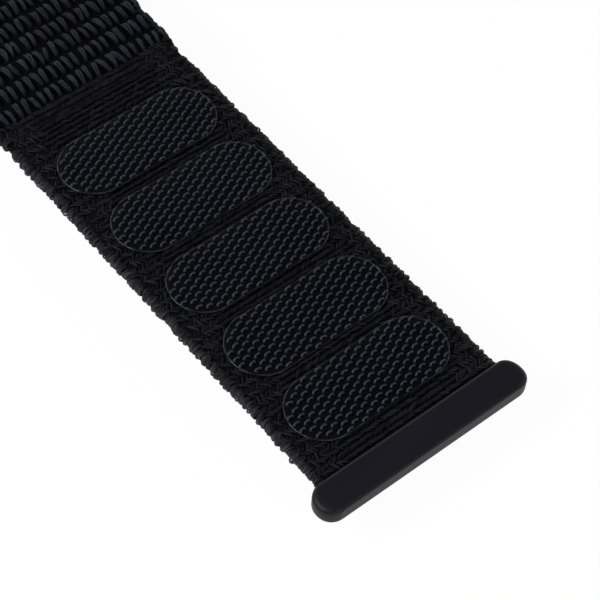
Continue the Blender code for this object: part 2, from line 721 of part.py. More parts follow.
def add_pivot(name, place, pieces):
    """Put pieces under an empty on their joint's axis, where they already are."""
    pivot = bpy.data.objects.new(name, None)
    pivot.location = place
    pivot.empty_display_size = PIN_DIAMETER
    PARTS.objects.link(pivot)
    for piece in pieces:
        piece.location = piece.location - Vector(place)
        piece.parent = pivot
    return pivot


def main():
    """Build the band, the tail on its fold, and the ring and pins."""
    build_band_weave()
    build_band_pile()
    build_band_skin()
    for number in range(1, THREAD_ROWS + 1):
        build_hem_thread(number)
    tail = [build_tail_weave(), build_tail_pile(), build_tail_skin()]
    for number in range(1, PAD_COUNT + 1):
        tail.append(build_hook_pad(number))
    tail.append(build_end_bar())
    add_pivot("tail_fold", FOLD_AXIS, tail)
    build_slider_frame()
    add_pivot("slider_pin", RING_PIN_AXIS, build_pin("slider", RING_PIN_AXIS, RING_KNOB_REACH))
    add_pivot("eye_pin", EYE_PIN_AXIS, build_pin("eye", EYE_PIN_AXIS, EYE_KNOB_REACH))


main()
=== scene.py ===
"""Looks of a woven nylon watch strap with hook-and-loop fastening, built round its CAD frame.

The strap lies straight along X with its tip to +X, its outer face up. Lengths are in metres and
angles in degrees.
"""

from __future__ import annotations

import logging
import math
import random
from abc import ABC, abstractmethod
from collections.abc import Callable, Iterable, Mapping, Sequence
from dataclasses import dataclass, field
from enum import Enum

import bmesh
import bpy
import numpy as np
from mathutils import Matrix, Vector


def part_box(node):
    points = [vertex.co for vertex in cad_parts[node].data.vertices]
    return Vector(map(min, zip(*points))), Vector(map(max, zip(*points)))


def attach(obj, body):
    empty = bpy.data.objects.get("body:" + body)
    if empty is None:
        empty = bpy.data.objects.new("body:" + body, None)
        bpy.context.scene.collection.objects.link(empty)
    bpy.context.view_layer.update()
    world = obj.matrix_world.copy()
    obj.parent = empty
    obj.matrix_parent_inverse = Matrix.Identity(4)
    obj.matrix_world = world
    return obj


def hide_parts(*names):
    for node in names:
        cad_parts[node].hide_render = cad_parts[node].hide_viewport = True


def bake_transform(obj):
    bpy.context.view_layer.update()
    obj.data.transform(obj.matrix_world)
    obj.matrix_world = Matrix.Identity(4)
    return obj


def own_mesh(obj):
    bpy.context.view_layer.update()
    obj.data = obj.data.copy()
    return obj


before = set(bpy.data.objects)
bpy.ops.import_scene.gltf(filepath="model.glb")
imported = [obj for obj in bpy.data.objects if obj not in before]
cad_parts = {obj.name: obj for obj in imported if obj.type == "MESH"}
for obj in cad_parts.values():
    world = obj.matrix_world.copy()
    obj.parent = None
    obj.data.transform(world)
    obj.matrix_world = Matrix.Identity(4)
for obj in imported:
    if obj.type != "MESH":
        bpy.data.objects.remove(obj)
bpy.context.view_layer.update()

LOG = logging.getLogger("watch_strap")
MERGE_DISTANCE = 1e-7
SAME_LEVEL = 1e-6
LAP = 0.0001  # how far neighbouring forms reach into each other
PAD_COUNT = 5
ALONG = Vector((1.0, 0.0, 0.0))
ACROSS = Vector((0.0, 1.0, 0.0))
UP = Vector((0.0, 0.0, 1.0))

Triple = tuple[float, float, float]
Number = "float | Socket"
Curve = Callable[[float], Vector]
Radius = Callable[[float], float]


class Fibre(Enum):
    """Axis of the strap that the fibres of a yarn run along."""

    ALONG = (1.0, 0.0, 0.0)
    ACROSS = (0.0, 1.0, 0.0)


class Body(Enum):
    """Bodies of the frame that pieces ride on."""

    BAND = "band"
    TAIL = "tail"
    SLIDER_PIN = "slider_pin"
    EYE_PIN = "eye_pin"


# Shader nodes
class Socket:
    """A shader socket that sums can be written with."""

    def __init__(self, graph: Graph, port: bpy.types.NodeSocket) -> None:
        """Wrap an output socket of a graph."""
        self.graph = graph
        self.port = port

    def combine(self, operation: str, first: Number, second: Number) -> Socket:
        """Return the result of a Math node on two values."""
        return self.graph.out(
            self.graph.node("ShaderNodeMath", {0: first, 1: second}, operation=operation)
        )

    def __add__(self, other: Number) -> Socket:
        """Return the sum of two values."""
        return self.combine("ADD", self, other)

    __radd__ = __add__

    def __sub__(self, other: Number) -> Socket:
        """Return self - other."""
        return self.combine("SUBTRACT", self, other)

    def __rsub__(self, other: Number) -> Socket:
        """Return other - self."""
        return self.combine("SUBTRACT", other, self)

    def __mul__(self, other: Number) -> Socket:
        """Return self * other."""
        return self.combine("MULTIPLY", self, other)

    def highest(self, other: Number) -> Socket:
        """Return the higher of two values."""
        return self.combine("MAXIMUM", self, other)

    def centred(self) -> Socket:
        """Return a value of 0 to 1 as one of -0.5 to 0.5."""
        return self - 0.5


class Graph:
    """The nodes of one material or world."""

    def __init__(self, tree: bpy.types.NodeTree) -> None:
        """Start from an emptied node tree."""
        self.tree = tree
        self.tree.nodes.clear()

    def node(
        self, kind: str, values: Mapping[int | str, object] | None = None, **settings: object,
    ) -> bpy.types.Node:
        """Add one node.

        Args:
            kind: Blender's name for the node's type.
            values: numbers, colours or sockets for its inputs, by name or place.
            **settings: properties, which are set before the inputs.

        Returns:
            The new node.
        """
        made = self.tree.nodes.new(kind)
        for key, value in settings.items():
            setattr(made, key, value)
        for key, value in (values or {}).items():
            if isinstance(value, Socket):
                self.tree.links.new(value.port, made.inputs[key])
            else:
                made.inputs[key].default_value = value
        return made

    def out(self, made: bpy.types.Node, name: int | str = 0) -> Socket:
        """Return one output of a node, wrapped."""
        return Socket(self, made.outputs[name])

    def noise(self, scale: Sequence[float], detail: float = 2.0) -> Socket:
        """Return a noise of 0 to 1 on object coordinates.

        Args:
            scale: how many pattern units fit in a metre on each axis.
            detail: how many finer layers the noise has.

        Returns:
            The noise's value.
        """
        place = self.out(self.node("ShaderNodeTexCoord"), "Object")
        mapping = self.node("ShaderNodeMapping", {"Vector": place, "Scale": tuple(scale)})
        values = {"Vector": self.out(mapping), "Scale": 1.0, "Detail": detail}
        return self.out(self.node("ShaderNodeTexNoise", values), "Fac")

    def attribute(self, name: str) -> Socket:
        """Return the value of a mesh attribute."""
        return self.out(self.node("ShaderNodeAttribute", attribute_name=name), "Fac")

    def ray(self, *kinds: str) -> Socket:
        """Return 1 for rays of the given kinds and 0 for the others."""
        path = self.node("ShaderNodeLightPath")
        found, *others = (self.out(path, f"Is {kind} Ray") for kind in kinds)
        for other in others:
            found = found.highest(other)
        return found

    def surface(
        self,
        colours: tuple[Triple, Triple],
        share: Socket,
        roughness: Socket,
        height: Socket,
        relief: tuple[float, float],
        level: tuple[str, float],
    ) -> Socket:
        """Return a Principled shader.

        Args:
            colours: two linear colours.
            share: how far its base colour is from the first to the second.
            roughness: its roughness.
            height: the height of its relief, as 0 to 1.
            relief: what a height of 1 stands for, and how much of it is used.
            level: the name and the value of one more input.

        Returns:
            The shader.
        """
        first, second = ((*colour, 1.0) for colour in colours)
        values = {"Factor": share, 6: first, 7: second}
        mixed = self.node("ShaderNodeMix", values, data_type="RGBA", clamp_factor=True)
        values = {"Height": height, "Distance": relief[0], "Strength": relief[1]}
        bump = self.node("ShaderNodeBump", values)
        values = {
            "Base Color": self.out(mixed, 2),
            "Roughness": roughness,
            level[0]: level[1],
            "Normal": self.out(bump),
        }
        return self.out(self.node("ShaderNodeBsdfPrincipled", values))


# Finishes
@dataclass(frozen=True)
class Finish(ABC):
    """A surface finish, made into one material the first time it is used."""

    name: str
    slot: str

    @abstractmethod
    def shade(self, graph: Graph) -> Socket:
        """Return the shader of the finish."""

    def material(self) -> bpy.types.Material:
        """Return the finish's material."""
        found = bpy.data.materials.get(self.name)
        if found is not None:
            return found
        made = bpy.data.materials.new(self.name)
        made.use_nodes = True
        graph = Graph(made.node_tree)
        graph.node("ShaderNodeOutputMaterial", {"Surface": self.shade(graph)})
        return made


@dataclass(frozen=True)
class Yarn(Finish):
    """Nylon yarn of fine parallel fibres, with a shade that differs from strand to strand and
    painted shade towards the ends of some strands.
    """

    dark: Triple = (0.006, 0.006, 0.008)
    light: Triple = (0.022, 0.022, 0.027)
    fibre: Fibre = Fibre.ALONG
    fibre_width: float = 0.00007
    fibre_length: float = 0.0009
    mottle: float = 0.00022
    streak_share: float = 0.7
    mottle_share: float = 1.3
    contrast: float = 1.5
    lift: float = 0.25
    relief: tuple[float, float] = (0.00004, 0.8)
    roughness: float = 0.55
    roughness_spread: float = 0.2
    gloss: float = 0.25

    def shade(self, graph: Graph) -> Socket:
        """Return fine streaks and mottling over each strand's own shade, which holds painted shade
        towards the ends of some strands.
        """
        long = [bool(part) for part in self.fibre.value]
        scale = [1.0 / (self.fibre_length if part else self.fibre_width) for part in long]
        streaks = graph.noise(scale)
        strand = graph.attribute("shade")
        patches = graph.noise([1.0 / self.mottle] * 3, detail=3.0)
        grain = streaks.centred() * self.streak_share + patches.centred() * self.mottle_share
        tone = strand * (1.0 + grain * self.contrast) + grain * self.lift
        roughness = self.roughness + streaks * self.roughness_spread
        return graph.surface(
            (self.dark, self.light), tone, roughness, streaks, self.relief,
            ("Specular IOR Level", self.gloss),
        )


@dataclass(frozen=True)
class Resin(Finish):
    """Moulded nylon resin with a faint mould texture and handling marks."""

    colour: Triple = (0.010, 0.010, 0.012)
    worn: Triple = (0.020, 0.020, 0.023)
    grain: float = 0.00012
    marks: Triple = (220.0, 120.0, 300.0)
    relief: tuple[float, float] = (0.000004, 0.7)
    roughness: float = 0.38
    roughness_spread: float = 0.12
    gloss: float = 0.50

    def shade(self, graph: Graph) -> Socket:
        """Return a satin surface whose gloss wanders a little."""
        fine = graph.noise([1.0 / self.grain] * 3)
        broad = graph.noise(self.marks, detail=3.0)
        roughness = self.roughness + broad.centred() * self.roughness_spread
        return graph.surface(
            (self.colour, self.worn), broad, roughness, fine, self.relief,
            ("Specular IOR Level", self.gloss),
        )


@dataclass(frozen=True)
class Steel(Finish):
    """Brushed steel, bright or blackened, with its fine lines across the strap."""

    colour: Triple = (0.55, 0.55, 0.56)
    tarnish: Triple = (0.42, 0.41, 0.41)
    brush: Triple = (22000.0, 500.0, 22000.0)
    marks: Triple = (400.0, 260.0, 400.0)
    relief: tuple[float, float] = (0.000003, 0.5)
    roughness: float = 0.28
    roughness_spread: float = 0.16

    def shade(self, graph: Graph) -> Socket:
        """Return metal with fine brushed lines."""
        lines = graph.noise(self.brush)
        broad = graph.noise(self.marks, detail=3.0)
        roughness = self.roughness + lines.centred() * self.roughness_spread
        return graph.surface(
            (self.colour, self.tarnish), broad, roughness, lines, self.relief, ("Metallic", 1.0),
        )


# Darker than the ribs' nylon: painted shade for the ground, which shows in the gaps under the
# cords and between the pile rows.
SHADED_GROUND = Yarn(
    "ground_yarn_painted_shade", "ground_nylon", dark=(0.0022, 0.0023, 0.0040), light=(0.0066, 0.0068, 0.0106),
    gloss=0.08,
)
RIB = Yarn(
    "rib_yarn", "ground_nylon", dark=(0.0024, 0.0024, 0.0045), light=(0.0190, 0.0186, 0.0272),
    relief=(0.00003, 0.8), gloss=0.12,
)
# Lighter than the ribs' nylon: a painted highlight along the strap's edges, where the turned
# fibres reach furthest out.
SHEENED_EDGE = Yarn(
    "edge_yarn_painted_highlight", "ground_nylon", dark=(0.0026, 0.0026, 0.0048), light=(0.0620, 0.0615, 0.0770),
    roughness=0.45,
)
PILE = Yarn(
    "pile_yarn", "pile_nylon", dark=(0.0026, 0.0028, 0.0052), light=(0.0335, 0.0350, 0.0530),
    roughness=0.50, gloss=0.16,
)
SKIN = Yarn("skin_yarn", "skin_nylon", dark=(0.003, 0.003, 0.004), light=(0.012, 0.012, 0.015))
STITCH = Yarn("stitch_yarn", "thread", fibre=Fibre.ACROSS)
FILM = Resin(
    "hook_film", "hook_resin", colour=(0.0014, 0.0020, 0.0047), worn=(0.0025, 0.0034, 0.0067),
    roughness=0.40, gloss=0.20,
)
RIM = Resin(
    "film_rim", "hook_resin", colour=(0.0030, 0.0034, 0.0050), worn=(0.0140, 0.0150, 0.0180),
    roughness=0.36,
)
# Much lighter than the film of the same resin: their own dark grey with painted sheen along the
# arches.
SHEENED_HOOKS = Resin(
    "moulded_hooks_painted_sheen", "hook_resin", colour=(0.0375, 0.0400, 0.0525), worn=(0.0525, 0.0560, 0.0710),
    roughness=0.55, gloss=0.25,
)
BAR = Resin(
    "moulded_bar", "bar_resin", colour=(0.0104, 0.0104, 0.0152), worn=(0.0134, 0.0134, 0.0190),
    roughness=0.42, gloss=0.11,
)
BRIGHT = Steel("brushed_steel", "bright_steel")
DARK = Steel(
    "blackened_steel", "dark_steel", colour=(0.06, 0.06, 0.065), tarnish=(0.09, 0.09, 0.095),
    roughness=0.34,
)


# Places and chance
def turned(angle: float, axis: str = "Z") -> Matrix:
    """Return a turn by an angle."""
    return Matrix.Rotation(math.radians(angle), 4, axis)


def direction(azimuth: float, elevation: float) -> Vector:
    """Return the unit vector towards an azimuth and elevation."""
    turn = math.radians(azimuth)
    rise = math.radians(elevation)
    flat = math.cos(rise)
    return Vector((flat * math.cos(turn), flat * math.sin(turn), math.sin(rise)))


class Chance(random.Random):
    """Random differences between strands, the same in each run."""

    def wander(self, spread: float, most: float = 2.0) -> float:
        """Return a random amount about zero. None is drawn for a spread of zero.

        Args:
            spread: its usual size.
            most: how many spreads it may lie from zero.

        Returns:
            The amount.
        """
        if not spread:
            return 0.0
        return min(max(self.gauss(0.0, spread), -most * spread), most * spread)

    def move(
        self, place: Sequence[float], spreads: Sequence[float], most: float = 2.0,
    ) -> Matrix:
        """Return a move to near a place.

        Args:
            place: the place.
            spreads: how far the move usually is from it on each axis.
            most: how many spreads it may be away.

        Returns:
            The move.
        """
        near = [at + self.wander(spread, most) for at, spread in zip(place, spreads)]
        return Matrix.Translation(near)

    def tilt(self, spreads: Sequence[float], most: float = 2.0) -> Matrix:
        """Return a random turn about Z, lean about X and change of size, with their spreads."""
        turn, lean, size = (self.wander(spread, most) for spread in spreads)
        return turned(turn) @ turned(lean, "X") @ Matrix.Scale(1.0 + size, 4)


# Meshes
def to_mesh(name: str, work: bmesh.types.BMesh, merge: bool = False) -> bpy.types.Mesh:
    """Turn a bmesh into a mesh.

    Args:
        name: the mesh's name.
        work: the bmesh, which is freed.
        merge: whether its doubles are merged and its faces turned outward first.

    Returns:
        The mesh.
    """
    if merge:
        bmesh.ops.remove_doubles(work, verts=work.verts, dist=MERGE_DISTANCE)
        bmesh.ops.recalc_face_normals(work, faces=work.faces)
    mesh = bpy.data.meshes.new(name)
    work.to_mesh(mesh)
    work.free()
    return mesh


def block(low: Vector, high: Vector) -> bmesh.types.BMesh:
    """Return a bmesh that holds the box between two corners."""
    work = bmesh.new()
    size = Matrix.Diagonal((*(high - low), 1.0))
    bmesh.ops.create_cube(work, size=1.0, matrix=Matrix.Translation((low + high) / 2) @ size)
    return work


def edges_along(work: bmesh.types.BMesh, axis: Vector) -> list[bmesh.types.BMEdge]:
    """Return the edges whose ends lie apart along an axis."""
    ends = ((edge, edge.verts[0].co - edge.verts[1].co) for edge in work.edges)
    return [edge for edge, apart in ends if abs(apart.dot(axis)) > SAME_LEVEL]


def bevel(
    work: bmesh.types.BMesh, edges: Sequence[bmesh.types.BMEdge], radius: float, segments: int,
) -> None:
    """Round some edges of a bmesh.

    Args:
        work: the bmesh.
        edges: the edges.
        radius: their new radius.
        segments: faces across each round.
    """
    bmesh.ops.bevel(
        work, geom=edges, offset=radius, segments=segments, profile=0.5, affect="EDGES",
        material=-1,
    )


def slab(name: str, low: Vector, high: Vector, round_over: float, step: float) -> bpy.types.Mesh:
    """Return a length of webbing with rounded long edges, cut across at even steps.

    Args:
        name: the mesh's name.
        low: its lowest corner.
        high: its highest corner.
        round_over: radius of its long edges.
        step: distance between the cuts across it.

    Returns:
        The mesh.
    """
    work = block(low, high)
    bevel(work, edges_along(work, ALONG), round_over, segments=3)
    cuts = max(int((high.x - low.x) / step) - 1, 1)
    bmesh.ops.subdivide_edges(work, edges=edges_along(work, ALONG), cuts=cuts)
    return to_mesh(name, work, merge=True)


def add_shade(mesh: bpy.types.Mesh, shades: Sequence[float]) -> None:
    """Store the shade of each point in a mesh.

    Args:
        mesh: the mesh.
        shades: one value of 0 to 1 for each point.
    """
    layer = mesh.attributes.get("shade") or mesh.attributes.new("shade", "FLOAT", "POINT")
    layer.data.foreach_set("value", np.asarray(shades, np.float32))


def join(
    name: str, parts: Sequence[bpy.types.Mesh], plain_shade: float = 0.35,
) -> bpy.types.Mesh:
    """Join meshes into one, with their shades.

    Args:
        name: the new mesh's name.
        parts: the meshes.
        plain_shade: the shade of those that have none.

    Returns:
        The joined mesh.
    """
    work = bmesh.new()
    for part in parts:
        if part.attributes.get("shade") is None:
            add_shade(part, np.full(len(part.vertices), plain_shade))
        work.from_mesh(part)
    return to_mesh(name, work)


def repeat(
    name: str,
    pattern: bpy.types.Mesh,
    places: Sequence[Matrix],
    chance: Chance,
    even: float = 0.2,
) -> bpy.types.Mesh:
    """Repeat a small mesh at many places, each copy with a shade of its own.

    Args:
        name: the new mesh's name.
        pattern: the mesh to repeat, about the origin, with a shade in each point.
        places: where each copy goes.
        chance: the source of the shades.
        even: the share of the shade that all copies have in common.

    Returns:
        One mesh of all the copies.
    """
    mesh = join(name, [pattern] * len(places))
    if not places:
        return mesh
    points = np.array([(*vert.co, 1.0) for vert in pattern.vertices])
    moved = [points @ np.array(place)[:3].T for place in places]
    mesh.vertices.foreach_set("co", np.concatenate(moved).astype(np.float32).ravel())
    own = np.array([item.value for item in pattern.attributes["shade"].data])
    shades = [own * (even + (1.0 - even) * chance.random()) for _ in places]
    add_shade(mesh, np.concatenate(shades))
    return mesh


# Strands
@dataclass(frozen=True)
class Strand:
    """A closed length of yarn, wire or moulding along a curve.

    Args:
        curve: the place of the centre line, for 0 at one end to 1 at the other.
        radius: half the thickness at the same places.
        plane: normal of the plane that the curve bends in.
        sides: faces round the strand.
        rings: lengths that it is made of.
        flat: the thickness along the plane's normal, as a share of the other.
        step: how far along the curve its direction is measured.
        shade: its shade next to the strands round it, 0 for the darkest.
        painted_end_shade: painted shade, as the share of the shade that is taken off towards both
            ends, where less light reaches.
    """

    curve: Curve
    radius: Radius
    plane: Vector = field(default_factory=lambda: ACROSS)
    sides: int = 5
    rings: int = 4
    flat: float = 1.0
    step: float = 0.01
    shade: float = 1.0
    painted_end_shade: float = 0.0

    def mesh(self, name: str) -> bpy.types.Mesh:
        """Return the strand as a mesh."""
        work = bmesh.new()
        bmesh.ops.create_cone(
            work, cap_ends=True, segments=self.sides, radius1=1.0, radius2=1.0, depth=1.0,
        )
        bmesh.ops.subdivide_edges(work, edges=edges_along(work, UP), cuts=self.rings - 1)
        shades = []
        for vert in work.verts:
            along = vert.co.z + 0.5
            # Painted shade: each point darkens towards both ends of the strand.
            shades.append(self.shade * (1.0 - self.painted_end_shade * (2.0 * along - 1.0) ** 2))
            vert.co = self.place(along, vert.co.x, vert.co.y)
        bmesh.ops.recalc_face_normals(work, faces=work.faces)
        mesh = to_mesh(name, work)
        add_shade(mesh, shades)
        return mesh

    def place(self, along: float, first: float, second: float) -> Vector:
        """Return the point of the strand's skin.

        Args:
            along: 0 at one end to 1 at the other.
            first: the point's share of the radius in the bending plane.
            second: its share along the plane's normal.

        Returns:
            The point.
        """
        ahead = self.curve(min(along + self.step, 1.0))
        behind = self.curve(max(along - self.step, 0.0))
        tangent = (ahead - behind).normalized()
        side = self.plane.cross(tangent).normalized()
        radius = self.radius(along)
        return self.curve(along) + radius * (side * first + self.plane * second * self.flat)


def bundle(name: str, strands: Iterable[Strand]) -> bpy.types.Mesh:
    """Return several strands as one mesh."""
    return join(name, [strand.mesh(name) for strand in strands])


def tapered(thick: float, ends: float = 1.0) -> Radius:
    """Return the radius of a strand, of which its ends keep a share."""
    return lambda along: thick * (ends + (1.0 - ends) * math.sin(math.pi * along))


def arch(half: float, rise: float, aside: float = 0.0) -> Curve:
    """Return a low arch along X.

    Args:
        half: half its length.
        rise: its height.
        aside: how far its middle stands to the side.

    Returns:
        The arch.
    """

    def curve(along: float) -> Vector:
        """Return the arch's place, for 0 at one end to 1 at the other."""
        turn = math.pi * along
        return Vector((-half * math.cos(turn), aside * math.sin(turn), rise * math.sin(turn)))

    return curve


# Pieces
def add_object(name: str, data: bpy.types.ID) -> bpy.types.Object:
    """Put a mesh, lamp or camera in the scene and return its object."""
    item = bpy.data.objects.new(name, data)
    bpy.context.scene.collection.objects.link(item)
    return item


def add_piece(
    name: str,
    mesh: bpy.types.Mesh,
    finish: Finish,
    body: Body | None,
    replaced: Sequence[str] = (),
    smooth_angle: float = 60.0,
) -> bpy.types.Object:
    """Add a finished piece.

    Args:
        name: the piece's name.
        mesh: its mesh, in place.
        finish: its finish.
        body: the body that carries it, or None for a piece that isn't on a body yet.
        replaced: the CAD nodes that it stands for.
        smooth_angle: faces that meet at less than this angle are shaded as one.

    Returns:
        The piece.
    """
    mesh.materials.clear()
    mesh.materials.append(finish.material())
    mesh.shade_smooth()
    mesh.set_sharp_from_angle(angle=math.radians(smooth_angle))
    item = add_object(name, mesh)
    if replaced:
        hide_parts(*replaced)
    LOG.info("%s: %d faces", name, len(mesh.polygons))
    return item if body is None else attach(item, body.value)


# Studio
@dataclass(frozen=True)
class Lamp:
    """A square area lamp.

    Args:
        name: its name.
        azimuth: its direction from its target.
        elevation: its height over it.
        reach: its distance.
        side: its width.
        power: its power in watts.
    """

    name: str
    azimuth: float
    elevation: float
    reach: float
    side: float
    power: float

    def add(self, target: Vector) -> None:
        """Put the lamp in the scene, where it looks at its target."""
        data = bpy.data.lights.new(self.name, "AREA")
        data.size = self.side
        data.energy = self.power
        away = direction(self.azimuth, self.elevation)
        turn = away.to_track_quat("Z", "Y").to_matrix().to_4x4()
        place = Matrix.Translation(target + away * self.reach)
        add_object(self.name, data).matrix_world = place @ turn


LAMPS = (
    Lamp("key", azimuth=-112.0, elevation=38.0, reach=0.6, side=0.22, power=2.25),
    Lamp("back", azimuth=70.0, elevation=30.0, reach=0.8, side=0.30, power=1.0),
    Lamp("front", azimuth=-12.0, elevation=32.0, reach=0.16, side=0.06, power=0.050),
    Lamp("side", azimuth=-165.0, elevation=12.0, reach=0.6, side=0.14, power=0.4),
    Lamp("rear", azimuth=155.0, elevation=18.0, reach=0.6, side=0.20, power=0.5),
)


@dataclass(frozen=True)
class Studio:
    """Pale floor, soft lamps and the camera at the photograph's angle."""

    target: Vector = field(default_factory=lambda: Vector((0.09992, 0.0006, 0.0050)))
    azimuth: float = -43.38
    elevation: float = 54.38
    roll: float = 5.19
    distance: float = 0.1986
    lens: float = 126.0
    sensor: float = 36.0
    nearest: float = 0.005
    farthest: float = 20.0
    horizon: float = 0.95
    zenith: float = 0.06
    horizon_end: float = 0.05
    zenith_start: float = 0.45
    floor_half: float = 2.0
    floor_tone: float = 0.82
    floor_glow: float = 1.035
    floor_share: float = 0.92

    def add_camera(self) -> None:
        """Place the camera, rolled as the photograph is."""
        back = direction(self.azimuth, self.elevation)
        right = (-back).cross(UP).normalized()
        above = right.cross(-back)
        cosine = math.cos(math.radians(self.roll))
        sine = math.sin(math.radians(self.roll))
        across = right * cosine + above * sine
        upward = above * cosine - right * sine
        data = bpy.data.cameras.new("camera")
        data.lens = self.lens
        data.sensor_width = self.sensor
        data.clip_start = self.nearest
        data.clip_end = self.farthest
        camera = add_object("camera", data)
        turn = Matrix((across, upward, back)).transposed().to_4x4()
        camera.matrix_world = Matrix.Translation(self.target + back * self.distance) @ turn
        bpy.context.scene.camera = camera

    def add_world(self) -> None:
        """Make a sky that is white to the camera and dimmer overhead for light."""
        world = bpy.data.worlds.new("studio")
        world.use_nodes = True
        bpy.context.scene.world = world
        graph = Graph(world.node_tree)
        place = graph.out(graph.node("ShaderNodeTexCoord"), "Generated")
        parts = graph.node("ShaderNodeSeparateXYZ", {0: place})
        values = {
            "Value": graph.out(parts, "Z"),
            "From Min": self.horizon_end,
            "From Max": self.zenith_start,
            "To Min": self.horizon,
            "To Max": self.zenith,
        }
        height = graph.node("ShaderNodeMapRange", values, interpolation_type="SMOOTHSTEP")
        camera = graph.ray("Camera")
        level = graph.out(height) * (1.0 - camera) + camera
        white = (1.0, 1.0, 1.0, 1.0)
        background = graph.node("ShaderNodeBackground", {"Strength": level, "Color": white})
        graph.node("ShaderNodeOutputWorld", {"Surface": graph.out(background)})

    def add_floor(self) -> None:
        """Lay a white floor that still takes the strap's shadow."""
        work = bmesh.new()
        bmesh.ops.create_grid(work, x_segments=1, y_segments=1, size=self.floor_half)
        mesh = to_mesh("floor", work)
        material = bpy.data.materials.new("floor")
        material.use_nodes = True
        graph = Graph(material.node_tree)
        matt = graph.node("ShaderNodeBsdfDiffuse", {"Color": (*[self.floor_tone] * 3, 1.0)})
        glow = graph.node("ShaderNodeEmission", {"Strength": self.floor_glow})
        share = graph.ray("Camera", "Glossy", "Transmission") * self.floor_share
        values = {0: share, 1: graph.out(matt), 2: graph.out(glow)}
        mixed = graph.node("ShaderNodeMixShader", values)
        graph.node("ShaderNodeOutputMaterial", {"Surface": graph.out(mixed)})
        mesh.materials.append(material)
        add_object("floor", mesh)

    def build(self) -> None:
        """Set up the whole studio."""
        bpy.context.scene.view_settings.view_transform = "Standard"
        self.add_camera()
        self.add_world()
        self.add_floor()
        for lamp in LAMPS:
            lamp.add(self.target)


